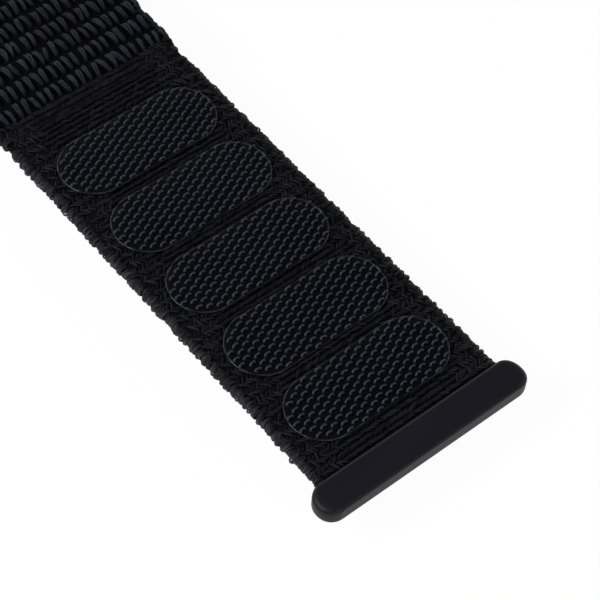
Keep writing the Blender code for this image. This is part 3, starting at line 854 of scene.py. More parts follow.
# Strap
@dataclass
class Weave:
    """What the woven pieces share: width, cords of plies, and wraps round the edges.

    Jitters are the spreads of a place on three axes, and tilts those of a turn, a lean and a
    size. The fibres' first value is a share of the spread, the second of the rise or reach, and
    the third is their shade.
    """

    seed: int = 7
    half_width: float = 0.0110
    edge_inset: float = 0.00017
    side_slope: float = 0.45
    plain_end: float = 0.0011
    plain_spread: float = 0.00012
    knot_end: float = 0.0013
    cord_pitch: float = 0.001314
    ply_pitch: float = 0.000465
    ply_length: float = 0.00112
    ply_rise: float = 0.00022
    ply_radius: float = 0.00009
    ply_spread: float = 0.00006
    ply_fibres: tuple[Triple, ...] = ((-1.0, 1.0, 1.0), (1.0, 0.84, 0.75))
    ply_jitter: Triple = (0.00003, 0.00004, 0.00002)
    ply_slant: float = 72.0
    ply_turn: float = 9.0
    ply_size: float = 0.09
    margin_start: float = 0.0062
    margin_width: float = 0.0020
    margin_sink: float = 0.00011
    margin_slant: float = 46.0
    margin_turn: float = 7.0
    margin_size: float = 0.06
    wrap_reach: float = 0.00062
    wrap_radius: float = 0.000068
    wrap_spread: float = 0.00009
    wrap_fibres: tuple[Triple, ...] = ((-1.0, 0.88, 0.75), (0.0, 1.0, 1.0), (1.0, 0.92, 0.65))
    wrap_lean: float = 0.4
    wrap_start: float = 128.0
    wrap_turn: float = 236.0
    wrap_inset: float = 0.00022
    wrap_rise: float = 0.4
    wrap_jitter: Triple = (0.00006, 0.00005, 0.00004)
    wrap_tilt: Triple = (15.0, 9.0, 0.10)
    wraps: int = 7

    def __post_init__(self) -> None:
        """Seed the differences between strands, and work out the ground's width."""
        self.chance = Chance(self.seed)
        self.ground_half = self.half_width - self.edge_inset

    def ply(self) -> bpy.types.Mesh:
        """Return one turn of a twisted cord as it passes over its top, pointing along X."""
        half = self.ply_length / 2
        radius = tapered(self.ply_radius, ends=0.65)
        # Each fibre darkens towards both ends: painted shade where the cord dips into the weave,
        # so only its crown is light.
        return bundle("ply", [
            Strand(
                arch(half, self.ply_rise * rise, self.ply_spread * aside), radius, sides=4,
                rings=5, shade=shade, painted_end_shade=0.8,
            )
            for aside, rise, shade in self.ply_fibres
        ])

    def cords(
        self,
        name: str,
        feet: Sequence[Matrix],
        is_clear: Callable[[Vector], bool] = lambda place: False,
        height: float = 1.0,
    ) -> bpy.types.Mesh:
        """Return twisted cords across the strap, which turn back at one edge and the other.

        Args:
            name: the mesh's name.
            feet: the place of each cord's foot, with X along the strap and Z out of it.
            is_clear: tells whether a place is in an opening or covered, where no cord passes.
            height: share of the full height that the cords stand out.

        Returns:
            The mesh of all the cords.
        """
        chance = self.chance
        places = []
        last = self.half_width - self.knot_end
        for number, foot in enumerate(feet):
            side = 1.0 if number % 2 else -1.0
            start = self.half_width - self.plain_end
            across = -side * start + chance.wander(self.plain_spread)
            while side * across < last:
                near = min(max(abs(across) - self.margin_start, 0.0) / self.margin_width, 1.0)
                sink = self.margin_sink * near if number % 2 else 0.0
                shift = chance.move((0.0, across, -sink), self.ply_jitter)
                slant = self.ply_slant + near * (self.margin_slant - self.ply_slant)
                spread = self.ply_turn + self.margin_turn * near
                turn = turned(-side * slant + chance.wander(spread))
                size = 1.0 + chance.wander(self.ply_size + self.margin_size * near)
                place = foot @ shift @ turn @ Matrix.Diagonal((size, size, size * height, 1.0))
                if not is_clear(place.translation):
                    places.append(place)
                across += side * self.ply_pitch
        return repeat(name, self.ply(), places, chance, even=0.25)

    def wrap(self, height: float, rings: int) -> bpy.types.Mesh:
        """Return three fibres that turn back round the edge, out to +Y.

        Args:
            height: how far it is from the upper to the lower side of the weave.
            rings: lengths of each fibre.

        Returns:
            The mesh, about the middle of the edge.
        """

        def turn_back(aside: float, reach: float) -> Curve:
            """Return the curve of a fibre that stands aside and reaches out."""

            def curve(along: float) -> Vector:
                """Return the fibre's place, for 0 at one end to 1 at the other."""
                turn = math.radians(self.wrap_start - self.wrap_turn * along)
                out = math.cos(turn)
                lean = aside * self.wrap_lean + abs(out) * aside
                return Vector((lean, reach * out, height / 2 * math.sin(turn)))

            return curve

        full = self.wrap_reach - self.wrap_radius
        radius = tapered(self.wrap_radius, ends=0.7)
        # Each fibre darkens steeply towards both ends and is lightest where it turns furthest out:
        # painted shade on the weave's faces and a painted highlight along the edge.
        return bundle("wrap", [
            Strand(
                turn_back(self.wrap_spread * aside, full * reach), radius, plane=ALONG, sides=4,
                rings=rings, shade=shade, painted_end_shade=1.4,
            )
            for aside, reach, shade in self.wrap_fibres
        ])

    def edges(
        self, name: str, feet: Sequence[Matrix], low: float, high: float, rings: int = 9,
    ) -> bpy.types.Mesh:
        """Return the turned fibres along both edges of a length of webbing.

        Args:
            name: the mesh's name.
            feet: the place of each cord, with X along the strap and Z out of it.
            low: how far the lower side of the weave is from the feet.
            high: how far the upper side is.
            rings: lengths of each fibre.

        Returns:
            The mesh of all the turns.
        """
        chance = self.chance
        places = []
        out = self.half_width - self.wrap_reach
        turns = [(side, number) for side in (0.0, 180.0) for number in range(self.wraps)]
        for foot in feet:
            for side, number in turns:
                inward = self.wrap_inset * chance.random()
                along = number * self.cord_pitch / self.wraps
                rise = (low + high) / 2 + inward * self.wrap_rise
                shift = chance.move((along, out - inward, rise), self.wrap_jitter)
                if side:
                    shift[1][3] *= -1.0  # the other edge, as far out the other way
                places.append(foot @ shift @ turned(side) @ chance.tilt(self.wrap_tilt))
        return repeat(name, self.wrap(high - low, rings), places, chance, even=0.15)


@dataclass(frozen=True)
class LoopDetail:
    """How finely the loops of the pile are made.

    Args:
        strands: strands in each loop.
        sides: faces round each strand.
        rings: lengths of each strand.
    """

    strands: int
    sides: int
    rings: int


@dataclass
class Pile:
    """Rows of soft loops that the hooks catch."""

    weave: Weave
    row_pitch: float = 0.00236
    loop_pitch: float = 0.00093
    loop_length: float = 0.00186
    length_spread: float = 0.05
    loop_rise: float = 0.00062
    rise_spread: float = 0.06
    spread: float = 0.00015
    pinch: float = 0.45
    fill: float = 0.95
    twist: float = 3.4
    darkest: float = 0.75
    foot: float = 0.0054
    side_gap: float = 0.00055
    pair_gap: float = 0.00002
    jitter: Triple = (0.00008, 0.00005, 0.00003)
    tilt: Triple = (7.0, 9.0, 0.06)
    kinds: int = 4

    def loop(self, detail: LoopDetail) -> bpy.types.Mesh:
        """Return one loop of twisted strands that meet at both feet, unlike any other."""
        start = self.weave.chance.random()
        return bundle("pile_loop", [
            self.strand((start + number / detail.strands) * 2 * math.pi, detail)
            for number in range(detail.strands)
        ])

    def strand(self, phase: float, detail: LoopDetail) -> Strand:
        """Return one strand of a loop, which points along X.

        Args:
            phase: its place round the loop's middle line, in radians.
            detail: how finely it is made.

        Returns:
            The strand.
        """
        chance = self.weave.chance
        half = self.loop_length / 2 * (1.0 + chance.gauss(0.0, self.length_spread))
        rise = self.loop_rise * (1.0 + chance.gauss(0.0, self.rise_spread))
        thick = self.spread * math.sin(math.pi / detail.strands) * self.fill

        def curve(along: float) -> Vector:
            """Return the strand's place, for 0 at one foot to 1 at the other."""
            turn = math.pi * along
            swing = phase + self.twist * (along - 0.5)
            out = self.spread * (self.pinch + (1.0 - self.pinch) * math.sin(turn))
            return Vector((
                -half * math.cos(turn), out * math.cos(swing),
                (rise - self.spread) * math.sin(turn) + out * math.sin(swing),
            ))

        shade = self.darkest + (1.0 - self.darkest) * chance.random()
        # Each strand darkens towards both feet: painted shade deep in the pile.
        return Strand(
            curve, tapered(thick, ends=0.65), sides=detail.sides, rings=detail.rings,
            shade=shade, painted_end_shade=0.85,
        )

    def rows(self, name: str, centres: Sequence[float], detail: LoopDetail) -> bpy.types.Mesh:
        """Return rows of loops across the strap.

        Args:
            name: the mesh's name.
            centres: the place of each row along the strap.
            detail: how finely the loops are made.

        Returns:
            The mesh of all the loops.
        """
        chance = self.weave.chance
        reach = self.weave.half_width - self.side_gap
        count = int(2 * reach / self.loop_pitch)
        places = [[] for _ in range(self.kinds)]
        for centre in centres:
            for number in range(count + 1):
                pair = self.pair_gap if number % 2 else -self.pair_gap
                across = -reach + number * 2 * reach / count + pair
                shift = chance.move((centre, across, self.foot), self.jitter, math.inf)
                place = shift @ chance.tilt(self.tilt, math.inf)
                chance.choice(places).append(place)
        return join(name, [
            repeat(f"{name}_{kind}", self.loop(detail), some, chance, even=0.55)
            for kind, some in enumerate(places)
        ])


@dataclass
class Strap:
    """Woven band and tail: ground, ribs, pile, skin and edges."""

    weave: Weave = field(default_factory=Weave)
    fold_reach: float = 0.0050
    cut_step: float = 0.0004
    edge_round: float = 0.00050
    edge_lead: float = 0.2
    plain_at_eye: float = 0.0125
    rib_count: int = 74
    last_rib: float = 0.0005
    film_gap: float = 0.0001
    film_lap: float = 0.0008
    base_sink: float = 0.00028
    web_sink: float = 0.00018
    web_edge_rise: float = 0.00012
    tongue_lead: float = 0.0005
    tongue_half: float = 0.0004
    ramp: float = 0.0018
    ramp_end: float = 0.0013
    ramp_drop: float = 0.00040
    ramp_cords: Triple = (0.25, 0.55, 0.85)
    ramp_height: float = 0.6
    ramp_edge_gap: float = 0.0002
    ramp_edge_drop: float = 0.0005
    pile_lap: float = 0.00004
    last_row: float = 0.0512
    rows_reach: float = 0.3
    near_rows: LoopDetail = LoopDetail(strands=4, sides=6, rings=9)
    far_rows: LoopDetail = LoopDetail(strands=3, sides=4, rings=5)
    skin_pitch: float = 0.00090
    skin_row: float = 0.00055
    skin_loop: float = 0.00094
    skin_rise: float = 0.00016
    skin_radius: float = 0.00008
    skin_foot: float = 0.00024
    skin_gap: float = 0.0002
    skin_back: float = 0.00020
    skin_jitter: Triple = (0.0, 0.00005, 0.0)
    skin_turn: float = 16.0
    skin_at_eye: float = 0.0026

    def __post_init__(self) -> None:
        """Take the places that the strap is built round from the frame."""
        self.pile = Pile(self.weave)
        self.pads = [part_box(f"hook_pad_{number}") for number in range(1, PAD_COUNT + 1)]
        tail_low, tail_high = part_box("tail_weave")
        self.tongue_x = tail_high.x
        self.ground_low = tail_low.z
        self.ground_high = tail_high.z
        self.bar_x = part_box("end_bar")[0].x
        self.skin_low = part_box("tail_skin")[0].z
        self.web_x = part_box("tail_pile")[1].x
        self.web_high = self.pads[0][0].z - self.film_gap
        self.pile_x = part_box("band_pile")[0].x
        self.eye_x = self.pile_x - self.plain_at_eye
        fold_x = (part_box("band_weave")[1].x + tail_low.x) / 2
        self.fold_start = fold_x - self.fold_reach
        self.fold_end = fold_x + self.fold_reach
        self.thick_high = self.pile.foot + self.pile_lap
        self.ramp_high_x = self.web_x + self.ramp_end - self.ramp
        self.ramp_low_x = self.web_x + self.ramp_end
        self.ramp_low = self.web_high - self.ramp_drop
        self.ramp_rise = self.thick_high - self.ramp_low

    def draw_in(self, mesh: bpy.types.Mesh, level: float) -> bpy.types.Mesh:
        """Narrow a mesh below a height, as the selvedges round under.

        Args:
            mesh: the mesh to change.
            level: the height below which it narrows.

        Returns:
            The same mesh.
        """
        for vert in mesh.vertices:
            under = level - vert.co.z
            if under > 0.0:
                vert.co.y *= 1.0 - self.weave.side_slope * under / self.weave.half_width
        return mesh

    def under_film(self, place: Vector) -> bool:
        """Tell whether a place is well under the film of a hook pad."""
        for low, high in self.pads:
            half = (high.x - low.x) / 2
            past = max(abs(place.y) - (high.y - half), 0.0)
            if math.hypot(place.x - (low.x + high.x) / 2, past) < half - self.film_lap:
                return True
        return False

    def add_bending(
        self, name: str, mesh: bpy.types.Mesh, finish: Finish, replaced: Sequence[str] = (),
    ) -> None:
        """Add a piece that lies over the fold between band and tail, on no body, with its place
        baked into its mesh.

        Args:
            name: the piece's name.
            mesh: its mesh, in place.
            finish: its finish.
            replaced: the CAD nodes that it stands for.
        """
        item = add_piece(name, mesh, finish, None, replaced)
        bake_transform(item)

    def row_centres(self, low: float, high: float) -> list[float]:
        """Return the pile rows between two places along the strap."""
        first = self.bar_x - self.last_row
        pitch = self.pile.row_pitch
        rows = [first - number * pitch for number in range(int(self.rows_reach / pitch))]
        return [row for row in rows if low <= row < high]

    def ground(self, name: str, low: float, high: float, top: float) -> bpy.types.Mesh:
        """Return the ground weave between two places along the strap, up to a height."""
        half = self.weave.ground_half
        return slab(
            name, Vector((low, -half, self.ground_low)), Vector((high, half, top)),
            self.edge_round, self.cut_step,
        )

    def thick_edges(
        self, name: str, low: float, high: float, rise: float = 0.0, rings: int = 9,
    ) -> bpy.types.Mesh:
        """Return the turned fibres of a thick length of weave.

        Args:
            name: the mesh's name.
            low: the length's start along the strap.
            high: its end.
            rise: how far the fibres stand over the weave's top.
            rings: lengths of each fibre.

        Returns:
            The mesh of the fibres.
        """
        count = max(round((high - low) / self.weave.cord_pitch), 1)
        step = (high - low) / count
        feet = [
            Matrix.Translation((low + (number + self.edge_lead) * step, 0.0, self.thick_high))
            for number in range(count)
        ]
        under = self.ground_low + LAP - self.thick_high
        return self.weave.edges(name, feet, under, rise, rings)

    def build_web(self) -> None:
        """Build the thin ribbed web that carries the hook pads."""
        half = self.weave.ground_half
        top = self.web_high - self.base_sink
        base = self.ground("web_base", self.web_x, self.bar_x + LAP, top + LAP)
        self.draw_in(base, top)
        middle = (self.ground_low + self.web_high) / 2
        tongue = slab(
            "tongue",
            Vector((self.bar_x - self.tongue_lead, -half, middle - self.tongue_half)),
            Vector((self.tongue_x, half, middle + self.tongue_half)), LAP, self.cut_step,
        )
        last = self.bar_x - self.last_rib
        pitch = self.weave.cord_pitch / 2
        level = self.web_high - self.web_sink
        feet = [
            Matrix.Translation((last - number * pitch, 0.0, level))
            for number in range(self.rib_count)
        ]
        ribs = self.weave.cords("web_cords", feet, self.under_film)
        under = self.ground_low + LAP - level
        edges = self.weave.edges("web_edges", feet[::2], under, self.web_edge_rise)
        web = join("tail_web", [base, tongue])
        add_piece("tail_web", web, SHADED_GROUND, Body.TAIL, ["tail_weave"])
        add_piece("web_cords", ribs, RIB, Body.TAIL)
        add_piece("web_edges", edges, SHEENED_EDGE, Body.TAIL)

    def build_ramp_cords(self) -> None:
        """Build the cords that climb from the web to the pile."""
        tilt = turned(math.degrees(math.atan2(self.ramp_rise, self.ramp)), "Y")
        feet = [
            Matrix.Translation((
                self.ramp_low_x - share * self.ramp, 0.0, self.ramp_low + share * self.ramp_rise,
            )) @ tilt
            for share in self.ramp_cords
        ]
        cords = self.weave.cords("ramp_cords", feet, height=self.ramp_height)
        add_piece("ramp_cords", cords, RIB, Body.TAIL)

    def build_thick(self) -> None:
        """Build the thick ground under the pile, through the fold and back to the eye."""
        fold = self.ground("fold_ground", self.fold_start, self.ramp_low_x, self.thick_high)
        for vert in fold.vertices:
            past = (vert.co.x - self.ramp_high_x) / self.ramp
            if past > 0.0 and vert.co.z > self.ramp_low:
                vert.co.z = max(vert.co.z - past * self.ramp_rise, self.ramp_low)
        edges = join("fold_edges", [
            self.thick_edges("fold_edges", self.fold_start, self.ramp_high_x),
            self.thick_edges(
                "slope_edges", self.ramp_high_x, self.ramp_low_x - self.ramp_edge_gap,
                rise=-self.ramp_edge_drop,
            ),
        ])
        self.add_bending("tail_ground", self.draw_in(fold, self.web_high), SHADED_GROUND)
        self.add_bending("tail_edges", edges, SHEENED_EDGE)
        band = self.ground("band_ground", self.pile_x, self.fold_start, self.thick_high)
        edges = self.thick_edges("band_edges", self.pile_x, self.fold_start, rings=5)
        add_piece("band_ground", self.draw_in(band, self.web_high), SHADED_GROUND, Body.BAND)
        add_piece("band_edges", edges, SHEENED_EDGE, Body.BAND)

    def build_pile(self) -> None:
        """Build the rows of soft loops."""
        centres = self.row_centres(self.fold_start, self.web_x)
        tail = self.pile.rows("tail_pile", centres, self.near_rows)
        self.add_bending("tail_loops", tail, PILE, ["tail_pile"])
        centres = self.row_centres(self.pile_x, self.fold_start)
        band = self.pile.rows("band_pile", centres, self.far_rows)
        add_piece("band_loops", band, PILE, Body.BAND, ["band_pile"])

    def skin(self, name: str, low: float, high: float) -> bpy.types.Mesh:
        """Return the wrist side between two places: a thin ground with rows of soft loops.

        Args:
            name: the mesh's name.
            low: its start along the strap.
            high: its end.

        Returns:
            The mesh.
        """
        curve = arch(self.skin_loop / 2, self.skin_rise)
        strand = Strand(curve, tapered(self.skin_radius), sides=4, rings=3, flat=1.4)
        half = self.weave.ground_half
        reach = half - self.skin_gap
        columns = int((high - low) / self.skin_pitch)
        rows = int(2 * reach / self.skin_row)
        step = (high - low) / (columns + 0.5)
        chance = self.weave.chance
        places = []
        for column in range(columns):
            for row in range(rows + 1):
                along = low + (column + 0.5 + 0.5 * (row % 2)) * step
                place = (along, -reach + row * 2 * reach / rows, self.skin_low + self.skin_foot)
                shift = chance.move(place, self.skin_jitter, math.inf)
                slant = turned(chance.wander(self.skin_turn, math.inf))
                places.append(shift @ turned(180.0, "X") @ slant)
        loops = repeat(f"{name}_loops", strand.mesh("skin_loop"), places, chance)
        backing = slab(
            f"{name}_backing", Vector((low, -half, self.skin_low + self.skin_back)),
            Vector((high, half, self.ground_low + LAP)), LAP, self.cut_step,
        )
        return self.draw_in(join(name, [backing, loops]), self.web_high)

    def build(self) -> None:
        """Build every woven piece."""
        self.build_web()
        self.build_ramp_cords()
        self.build_thick()
        self.build_pile()
        band = self.skin("band_skin", self.eye_x + self.skin_at_eye, self.fold_start)
        add_piece("band_skin_layer", band, SKIN, Body.BAND, ["band_skin"])
        tail = self.skin("tail_skin", self.fold_start, self.bar_x - LAP)
        self.add_bending("tail_skin_layer", tail, SKIN, ["tail_skin"])


@dataclass
class SewnEye:
    """End of the band, turned round the pin and sewn back under itself."""

    strap: Strap
    hem: float = 0.0150
    hem_rise: float = 0.00078
    lead: float = 0.0050
    radius: float = 0.0019
    inner: float = 0.00082
    outer: float = 0.00052
    foot: float = 0.00050
    edge_round: float = 0.00030
    cut_round: float = 0.00005
    step: float = 0.00005
    notch_turn: float = 25.0
    notch_travel: float = 0.0014
    clear_turn: float = 12.0
    clear: float = 0.0006
    stitch_swing: float = 0.00045
    stitch_step: float = 0.00090
    stitch_reach: float = 0.0098
    stitch_slant: float = 45.0
    stitch_ply: float = 0.000095
    stitch_spread: float = 0.00007
    stitch_turns: float = 1.6
    stitch_dip: float = 0.00022
    stitch_sink: float = 0.00008

    def __post_init__(self) -> None:
        """Take the eye's place and the notch for the pin's knob from the frame."""
        low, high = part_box("eye_pin_tube")
        self.axis = (low + high) / 2
        self.plain = self.strap.plain_at_eye
        self.band_level = (self.strap.ground_low + self.strap.ground_high) / 2
        self.hem_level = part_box("hem_thread_1")[1].z + LAP + self.hem_rise
        knob_low, knob_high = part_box("eye_pin_release_knob")
        self.notch_low = knob_low.y - self.notch_travel
        self.notch_high = knob_high.y + LAP
        self.length = self.plain + math.pi * self.radius + self.hem

    def centre(self, along: float) -> Vector:
        """Return the middle of the webbing, measured from the end of the pile round the eye."""
        turn = (along - self.plain) / self.radius
        if 0.0 <= turn < math.pi:
            out = Vector((-math.sin(turn), 0.0, math.cos(turn)))
            return Vector((self.axis.x, 0.0, self.axis.z)) + out * self.radius
        if turn < 0.0:
            onward, near, far = self.plain - along, self.radius, self.band_level
        else:
            onward, near, far = (turn - math.pi) * self.radius, -self.radius, self.hem_level
        held = min(max(onward / self.lead, 0.0), 1.0)
        share = held * held * (3.0 - 2.0 * held)
        start = self.axis.z + near
        return Vector((self.axis.x + onward, 0.0, start + (far - start) * share))

    def place(self, along: float) -> Matrix:
        """Return the place along the webbing, with X along it and Z out of the turn."""
        tangent = (self.centre(along + self.step) - self.centre(along - self.step)).normalized()
        side = -ACROSS
        turn = Matrix((tangent, side, tangent.cross(side))).transposed().to_4x4()
        return Matrix.Translation(self.centre(along)) @ turn

    def in_notch(self, point: Vector) -> bool:
        """Tell whether a point is in the opening for the pin's knob."""
        off = point - self.axis
        turn = math.degrees(math.atan2(off.x, -off.z))
        in_turn = abs(turn) < self.notch_turn + self.clear_turn
        return in_turn and self.notch_low - self.clear < point.y < self.notch_high + self.clear

    def webbing(self) -> bpy.types.Mesh:
        """Return the turned ground weave, open where the knob slides."""
        half = self.strap.weave.ground_half
        bottom = self.plain + math.pi * self.radius
        reach = math.radians(self.notch_turn) * self.radius
        spans = (
            (0.0, self.length, -half, self.notch_low, self.edge_round),
            (0.0, bottom - reach, self.notch_low, self.notch_high, self.cut_round),
            (bottom + reach, self.length, self.notch_low, self.notch_high, self.cut_round),
            (0.0, self.length, self.notch_high, half, self.edge_round),
        )
        parts = []
        for start, end, low, high, round_over in spans:
            part = slab(
                "webbing", Vector((start, -high, -self.inner)), Vector((end, -low, self.outer)),
                round_over, self.strap.cut_step,
            )
            for vert in part.vertices:
                vert.co = self.place(vert.co.x) @ Vector((0.0, vert.co.y, vert.co.z))
            parts.append(part)
        return join("eye_webbing", parts)

    def stitch(self) -> bpy.types.Mesh:
        """Return one stitch of two twisted plies that dips into the weave at both ends."""
        half = math.hypot(2 * self.stitch_swing, self.stitch_step) / 2

        def ply(phase: float) -> Curve:
            """Return the curve of one ply, whose phase is a share of a turn."""

            def curve(along: float) -> Vector:
                """Return the ply's place, for 0 at one end to 1 at the other."""
                twist = 2 * math.pi * (self.stitch_turns * along + phase)
                off = 2.0 * along - 1.0
                rise = self.stitch_spread * math.sin(twist) - self.stitch_dip * abs(off) ** 4
                return Vector((half * off, self.stitch_spread * math.cos(twist), rise))

            return curve

        radius = tapered(self.stitch_ply)
        return bundle("stitch", [Strand(ply(at), radius, sides=6, rings=10) for at in (0.0, 0.5)])

    def zigzag(self, name: str, along: float, level: float, turn: Matrix) -> bpy.types.Mesh:
        """Return one row of zigzag stitches across the strap.

        Args:
            name: the mesh's name.
            along: the row's place along the strap.
            level: its height.
            turn: the turn that points the stitches out of the weave.

        Returns:
            The mesh of the row.
        """
        count = int(2 * self.stitch_reach // self.stitch_step)
        step = 2 * self.stitch_reach / count
        places = []
        for number in range(count):
            across = -self.stitch_reach + (number + 0.5) * step
            slant = turned(self.stitch_slant if number % 2 else -self.stitch_slant)
            places.append(Matrix.Translation((along, across, level)) @ turn @ slant)
        return repeat(name, self.stitch(), places, self.strap.weave.chance)

    def build(self) -> None:
        """Build the turned webbing with its cords, edges and sewing."""
        weave = self.strap.weave
        count = 2 * round(self.length / weave.cord_pitch)
        pitch = self.length / count
        rise = Matrix.Translation((0.0, 0.0, self.foot))
        feet = [self.place((number + 0.5) * pitch) @ rise for number in range(count)]
        cords = weave.cords("eye_cords", feet, self.in_notch)
        low, high = -self.inner - self.foot, self.outer - self.foot + LAP
        edges = weave.edges("eye_edges", feet[::2], low, high)
        add_piece("eye_webbing", self.webbing(), SHADED_GROUND, Body.BAND, ["band_weave"])
        add_piece("eye_cords", cords, RIB, Body.BAND)
        add_piece("eye_edges", edges, SHEENED_EDGE, Body.BAND)
        for number in (1, 2):
            low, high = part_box(f"hem_thread_{number}")
            along = (low.x + high.x) / 2
            under = self.zigzag("under", along, high.z - self.stitch_sink, turned(180.0, "X"))
            over = self.zigzag("over", along, self.strap.ground_high, Matrix.Identity(4))
            name = f"hem_stitches_{number}"
            row = join(name, [under, over])
            add_piece(name, row, STITCH, Body.BAND, [f"hem_thread_{number}"])


@dataclass
class HookPad:
    """One lozenge of film with its moulded hooks."""

    number: int
    chance: Chance
    column_pitch: float = 0.000425
    hook_pitch: float = 0.00178
    row_shift: float = 0.25
    jitter: Triple = (0.000012, 0.000015, 0.0)
    turn: float = 4.0
    hook_half: float = 0.00027
    hook_radius: float = 0.000105
    hook_rise: float = 0.00026
    hook_start: float = 0.01
    hook_sweep: float = 0.94
    hook_square: tuple[float, float] = (0.7, 0.6)
    hook_lean: float = 0.00005
    lean_end: float = 0.4
    head: float = 0.38
    margin: float = 0.00022
    rim: float = 0.00017
    rim_thin: float = 0.60
    rim_wave: float = 0.24
    rim_waves: tuple[float, float] = (41.0, 26.0)
    film: float = 0.00012
    round_segments: int = 48

    def __post_init__(self) -> None:
        """Take the pad's place and size from its CAD node."""
        low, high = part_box(f"hook_pad_{self.number}")
        self.centre = Vector(((low.x + high.x) / 2, (low.y + high.y) / 2, low.z))
        self.half_wide = (high.x - low.x) / 2
        self.half_long = (high.y - low.y) / 2
        self.straight = self.half_long - self.half_wide

    def sheet(self) -> bpy.types.Mesh:
        """Return the flat film."""
        work = bmesh.new()
        turn = turned(180.0 / self.round_segments)
        bmesh.ops.create_circle(
            work, cap_ends=True, segments=self.round_segments, radius=self.half_wide, matrix=turn,
        )
        for vert in work.verts:
            vert.co.y += math.copysign(self.straight, vert.co.y)
        raised = bmesh.ops.extrude_face_region(work, geom=list(work.faces))
        top = [item for item in raised["geom"] if isinstance(item, bmesh.types.BMFace)]
        verts = [item for item in raised["geom"] if isinstance(item, bmesh.types.BMVert)]
        bmesh.ops.translate(work, verts=verts, vec=(0.0, 0.0, self.film))
        bmesh.ops.inset_region(work, faces=top, thickness=self.rim, use_even_offset=True)
        bmesh.ops.translate(work, verts=work.verts, vec=self.centre)
        return to_mesh("film", work, merge=True)

    def rim_bead(self) -> bpy.types.Mesh:
        """Return the thin melted bead along the film's edge."""
        reach = self.half_wide - self.rim / 2

        def curve(along: float) -> Vector:
            """Return the bead's place, for 0 to 1 once round."""
            quarter, share = divmod(4.0 * (along % 1.0), 1.0)
            end = 1.0 if quarter < 2 else -1.0
            if quarter % 2:
                across = self.straight * (1.0 - 2.0 * share)
                return end * Vector((-reach, across, self.film * end))
            turn = math.pi * share
            across = self.straight + reach * math.sin(turn)
            return end * Vector((reach * math.cos(turn), across, self.film * end))

        def radius(along: float) -> float:
            """Return the bead's radius, which is less and uneven along its straights."""
            quarter, share = divmod(4.0 * (along % 1.0), 1.0)
            thin = self.rim_thin * math.sin(math.pi * share) if quarter % 2 else 0.0
            wave = sum(math.sin(2 * math.pi * waves * along) for waves in self.rim_waves)
            return self.rim / 2 * (1.0 - thin) * (1.0 + self.rim_wave * wave)

        mesh = Strand(curve, radius, plane=UP, sides=8, rings=160, step=0.001).mesh("rim")
        mesh.transform(Matrix.Translation(self.centre))
        return mesh

    def hook(self) -> bpy.types.Mesh:
        """Return one hook: a low arch across the strap with a curled, thicker head."""

        def curve(along: float) -> Vector:
            """Return the hook's place, for 0 at its foot to 1 at its head."""
            turn = math.pi * (self.hook_sweep * along + self.hook_start)
            lie = -math.copysign(abs(math.cos(turn)) ** self.hook_square[0], math.cos(turn))
            rise = abs(math.sin(turn)) ** self.hook_square[1]
            lean = self.hook_lean * max(1.0 - along / self.lean_end, 0.0)
            return Vector((lean, self.hook_half * lie, self.hook_rise * rise))

        def radius(along: float) -> float:
            """Return the hook's radius, which grows towards both ends."""
            return self.hook_radius * (1.0 + self.head * abs(2.0 * along - 1.0) ** 2)

        return Strand(curve, radius, plane=ALONG, sides=6, rings=8, flat=0.9).mesh("hook")

    def hook_places(self) -> list[Matrix]:
        """Return the hooks' places, in lines across the strap that are staggered by half."""
        end = self.half_wide - self.margin
        columns = int(end / self.column_pitch)
        rows = int(self.half_long / self.hook_pitch) + 1
        home = Matrix.Translation(self.centre)
        places = []
        for column in range(-columns, columns + 1):
            along = column * self.column_pitch
            shift = self.hook_pitch / 2 if column % 2 else 0.0
            for row in range(-rows, rows + 1):
                across = (row + self.row_shift) * self.hook_pitch + shift
                if math.hypot(along, max(abs(across) - self.straight, 0.0)) > end:
                    continue
                move = self.chance.move((along, across, self.film), self.jitter, math.inf)
                places.append(home @ move @ turned(self.chance.wander(self.turn, math.inf)))
        return places

    def build(self) -> None:
        """Build the film and its hooks."""
        add_piece(f"film_{self.number}", self.sheet(), FILM, Body.TAIL, smooth_angle=25.0)
        add_piece(f"rim_{self.number}", self.rim_bead(), RIM, Body.TAIL)
        hooks = repeat("hooks", self.hook(), self.hook_places(), self.chance)
        add_piece(f"hooks_{self.number}", hooks, SHEENED_HOOKS, Body.TAIL, [f"hook_pad_{self.number}"])


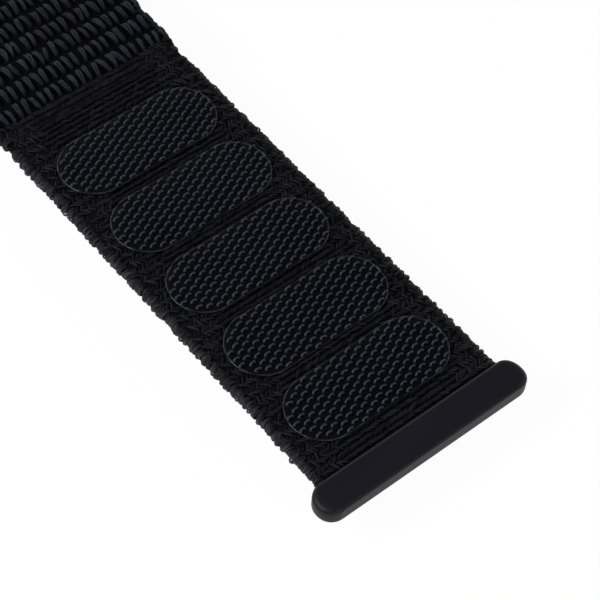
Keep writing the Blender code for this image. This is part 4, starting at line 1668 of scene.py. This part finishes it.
@dataclass
class EndBar:
    """Moulded bar at the tip, with well rounded ends and softened edges."""

    corner: float = 0.00165
    edge: float = 0.00046
    margin: float = 0.00003
    flat_area: float = 0.000008
    roll_length: float = 0.0019
    roll_depth: float = 0.00045
    roll_cuts: int = 6

    def roll_ends(self, work: bmesh.types.BMesh, low: Vector, high: Vector) -> None:
        """Let the top drop away softly towards both ends.

        Args:
            work: the bar.
            low: the bar's lowest corner.
            high: its highest corner.
        """
        middle = (low.z + high.z) / 2
        start = high.y - self.roll_length
        for end in (-1.0, 1.0):
            for cut in range(self.roll_cuts):
                across = end * (start + cut * self.roll_length / self.roll_cuts)
                everything = work.verts[:] + work.edges[:] + work.faces[:]
                bmesh.ops.bisect_plane(
                    work, geom=everything, plane_co=(0.0, across, 0.0), plane_no=ACROSS,
                )
        for vert in work.verts:
            share = (abs(vert.co.y) - start) / self.roll_length
            if share > 0.0 and vert.co.z > middle:
                held = (vert.co.z - middle) / (high.z - middle)
                vert.co.z -= self.roll_depth * share * share * held

    def build(self) -> None:
        """Build the bar round the tongue of the tail."""
        low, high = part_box("end_bar")
        work = block(low, high)
        bevel(work, edges_along(work, UP), self.corner, segments=8)
        upright = set(edges_along(work, UP))
        rims = [edge for edge in work.edges if edge not in upright]
        bevel(work, rims, self.edge, segments=5)
        wide = [face for face in work.faces if face.calc_area() > self.flat_area]
        for face in wide:
            bmesh.ops.inset_region(work, faces=[face], thickness=self.margin, use_even_offset=True)
        self.roll_ends(work, low, high)
        mesh = to_mesh("tip_bar", work, merge=True)
        add_piece("tip_bar", mesh, BAR, Body.TAIL, ["end_bar"], smooth_angle=40.0)


@dataclass
class PinSpring:
    """Coil spring in a quick-release pin, built at its CAD node's length; the real one shortens as
    the sprung tip draws in.
    """

    body: Body
    joint: str
    wire: float = 0.00009
    turns: int = 9
    steps_per_turn: int = 8
    travel: float = 0.00122

    def build(self) -> None:
        """Build the spring round the still tip's stem."""
        node = f"{self.body.value}_spring"
        low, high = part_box(node)
        middle = (low + high) / 2
        reach = (high.x - low.x) / 2 - self.wire
        length = high.y - low.y - 2 * self.wire

        def curve(along: float) -> Vector:
            """Return the wire's place, for 0 at one end to 1 at the other."""
            turn = 2 * math.pi * self.turns * along
            across = length * (along - 0.5)
            return middle + Vector((reach * math.cos(turn), across, reach * math.sin(turn)))

        rings = self.turns * self.steps_per_turn
        strand = Strand(curve, tapered(self.wire), sides=6, rings=rings, step=0.5 / rings)
        name = f"{self.body.value}_coil"
        item = add_piece(name, strand.mesh("coil"), BRIGHT, self.body, [node])
        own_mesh(item)


def dress_nodes() -> None:
    """Give the metal CAD nodes that stay visible their finishes."""
    for name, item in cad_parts.items():
        if item.hide_render:
            continue
        finish = BRIGHT if "_pin_" in name else DARK
        item.data.materials.clear()
        item.data.materials.append(finish.material())


def main() -> None:
    """Build the studio and every piece of the strap, in order."""
    logging.basicConfig(level=logging.INFO, format="%(name)s %(message)s")
    Studio().build()
    strap = Strap()
    strap.build()
    for number in range(1, PAD_COUNT + 1):
        HookPad(number, strap.weave.chance).build()
    SewnEye(strap).build()
    EndBar().build()
    PinSpring(Body.SLIDER_PIN, "slider_release").build()
    PinSpring(Body.EYE_PIN, "eye_release").build()
    dress_nodes()


if __name__ == "__main__":
    main()
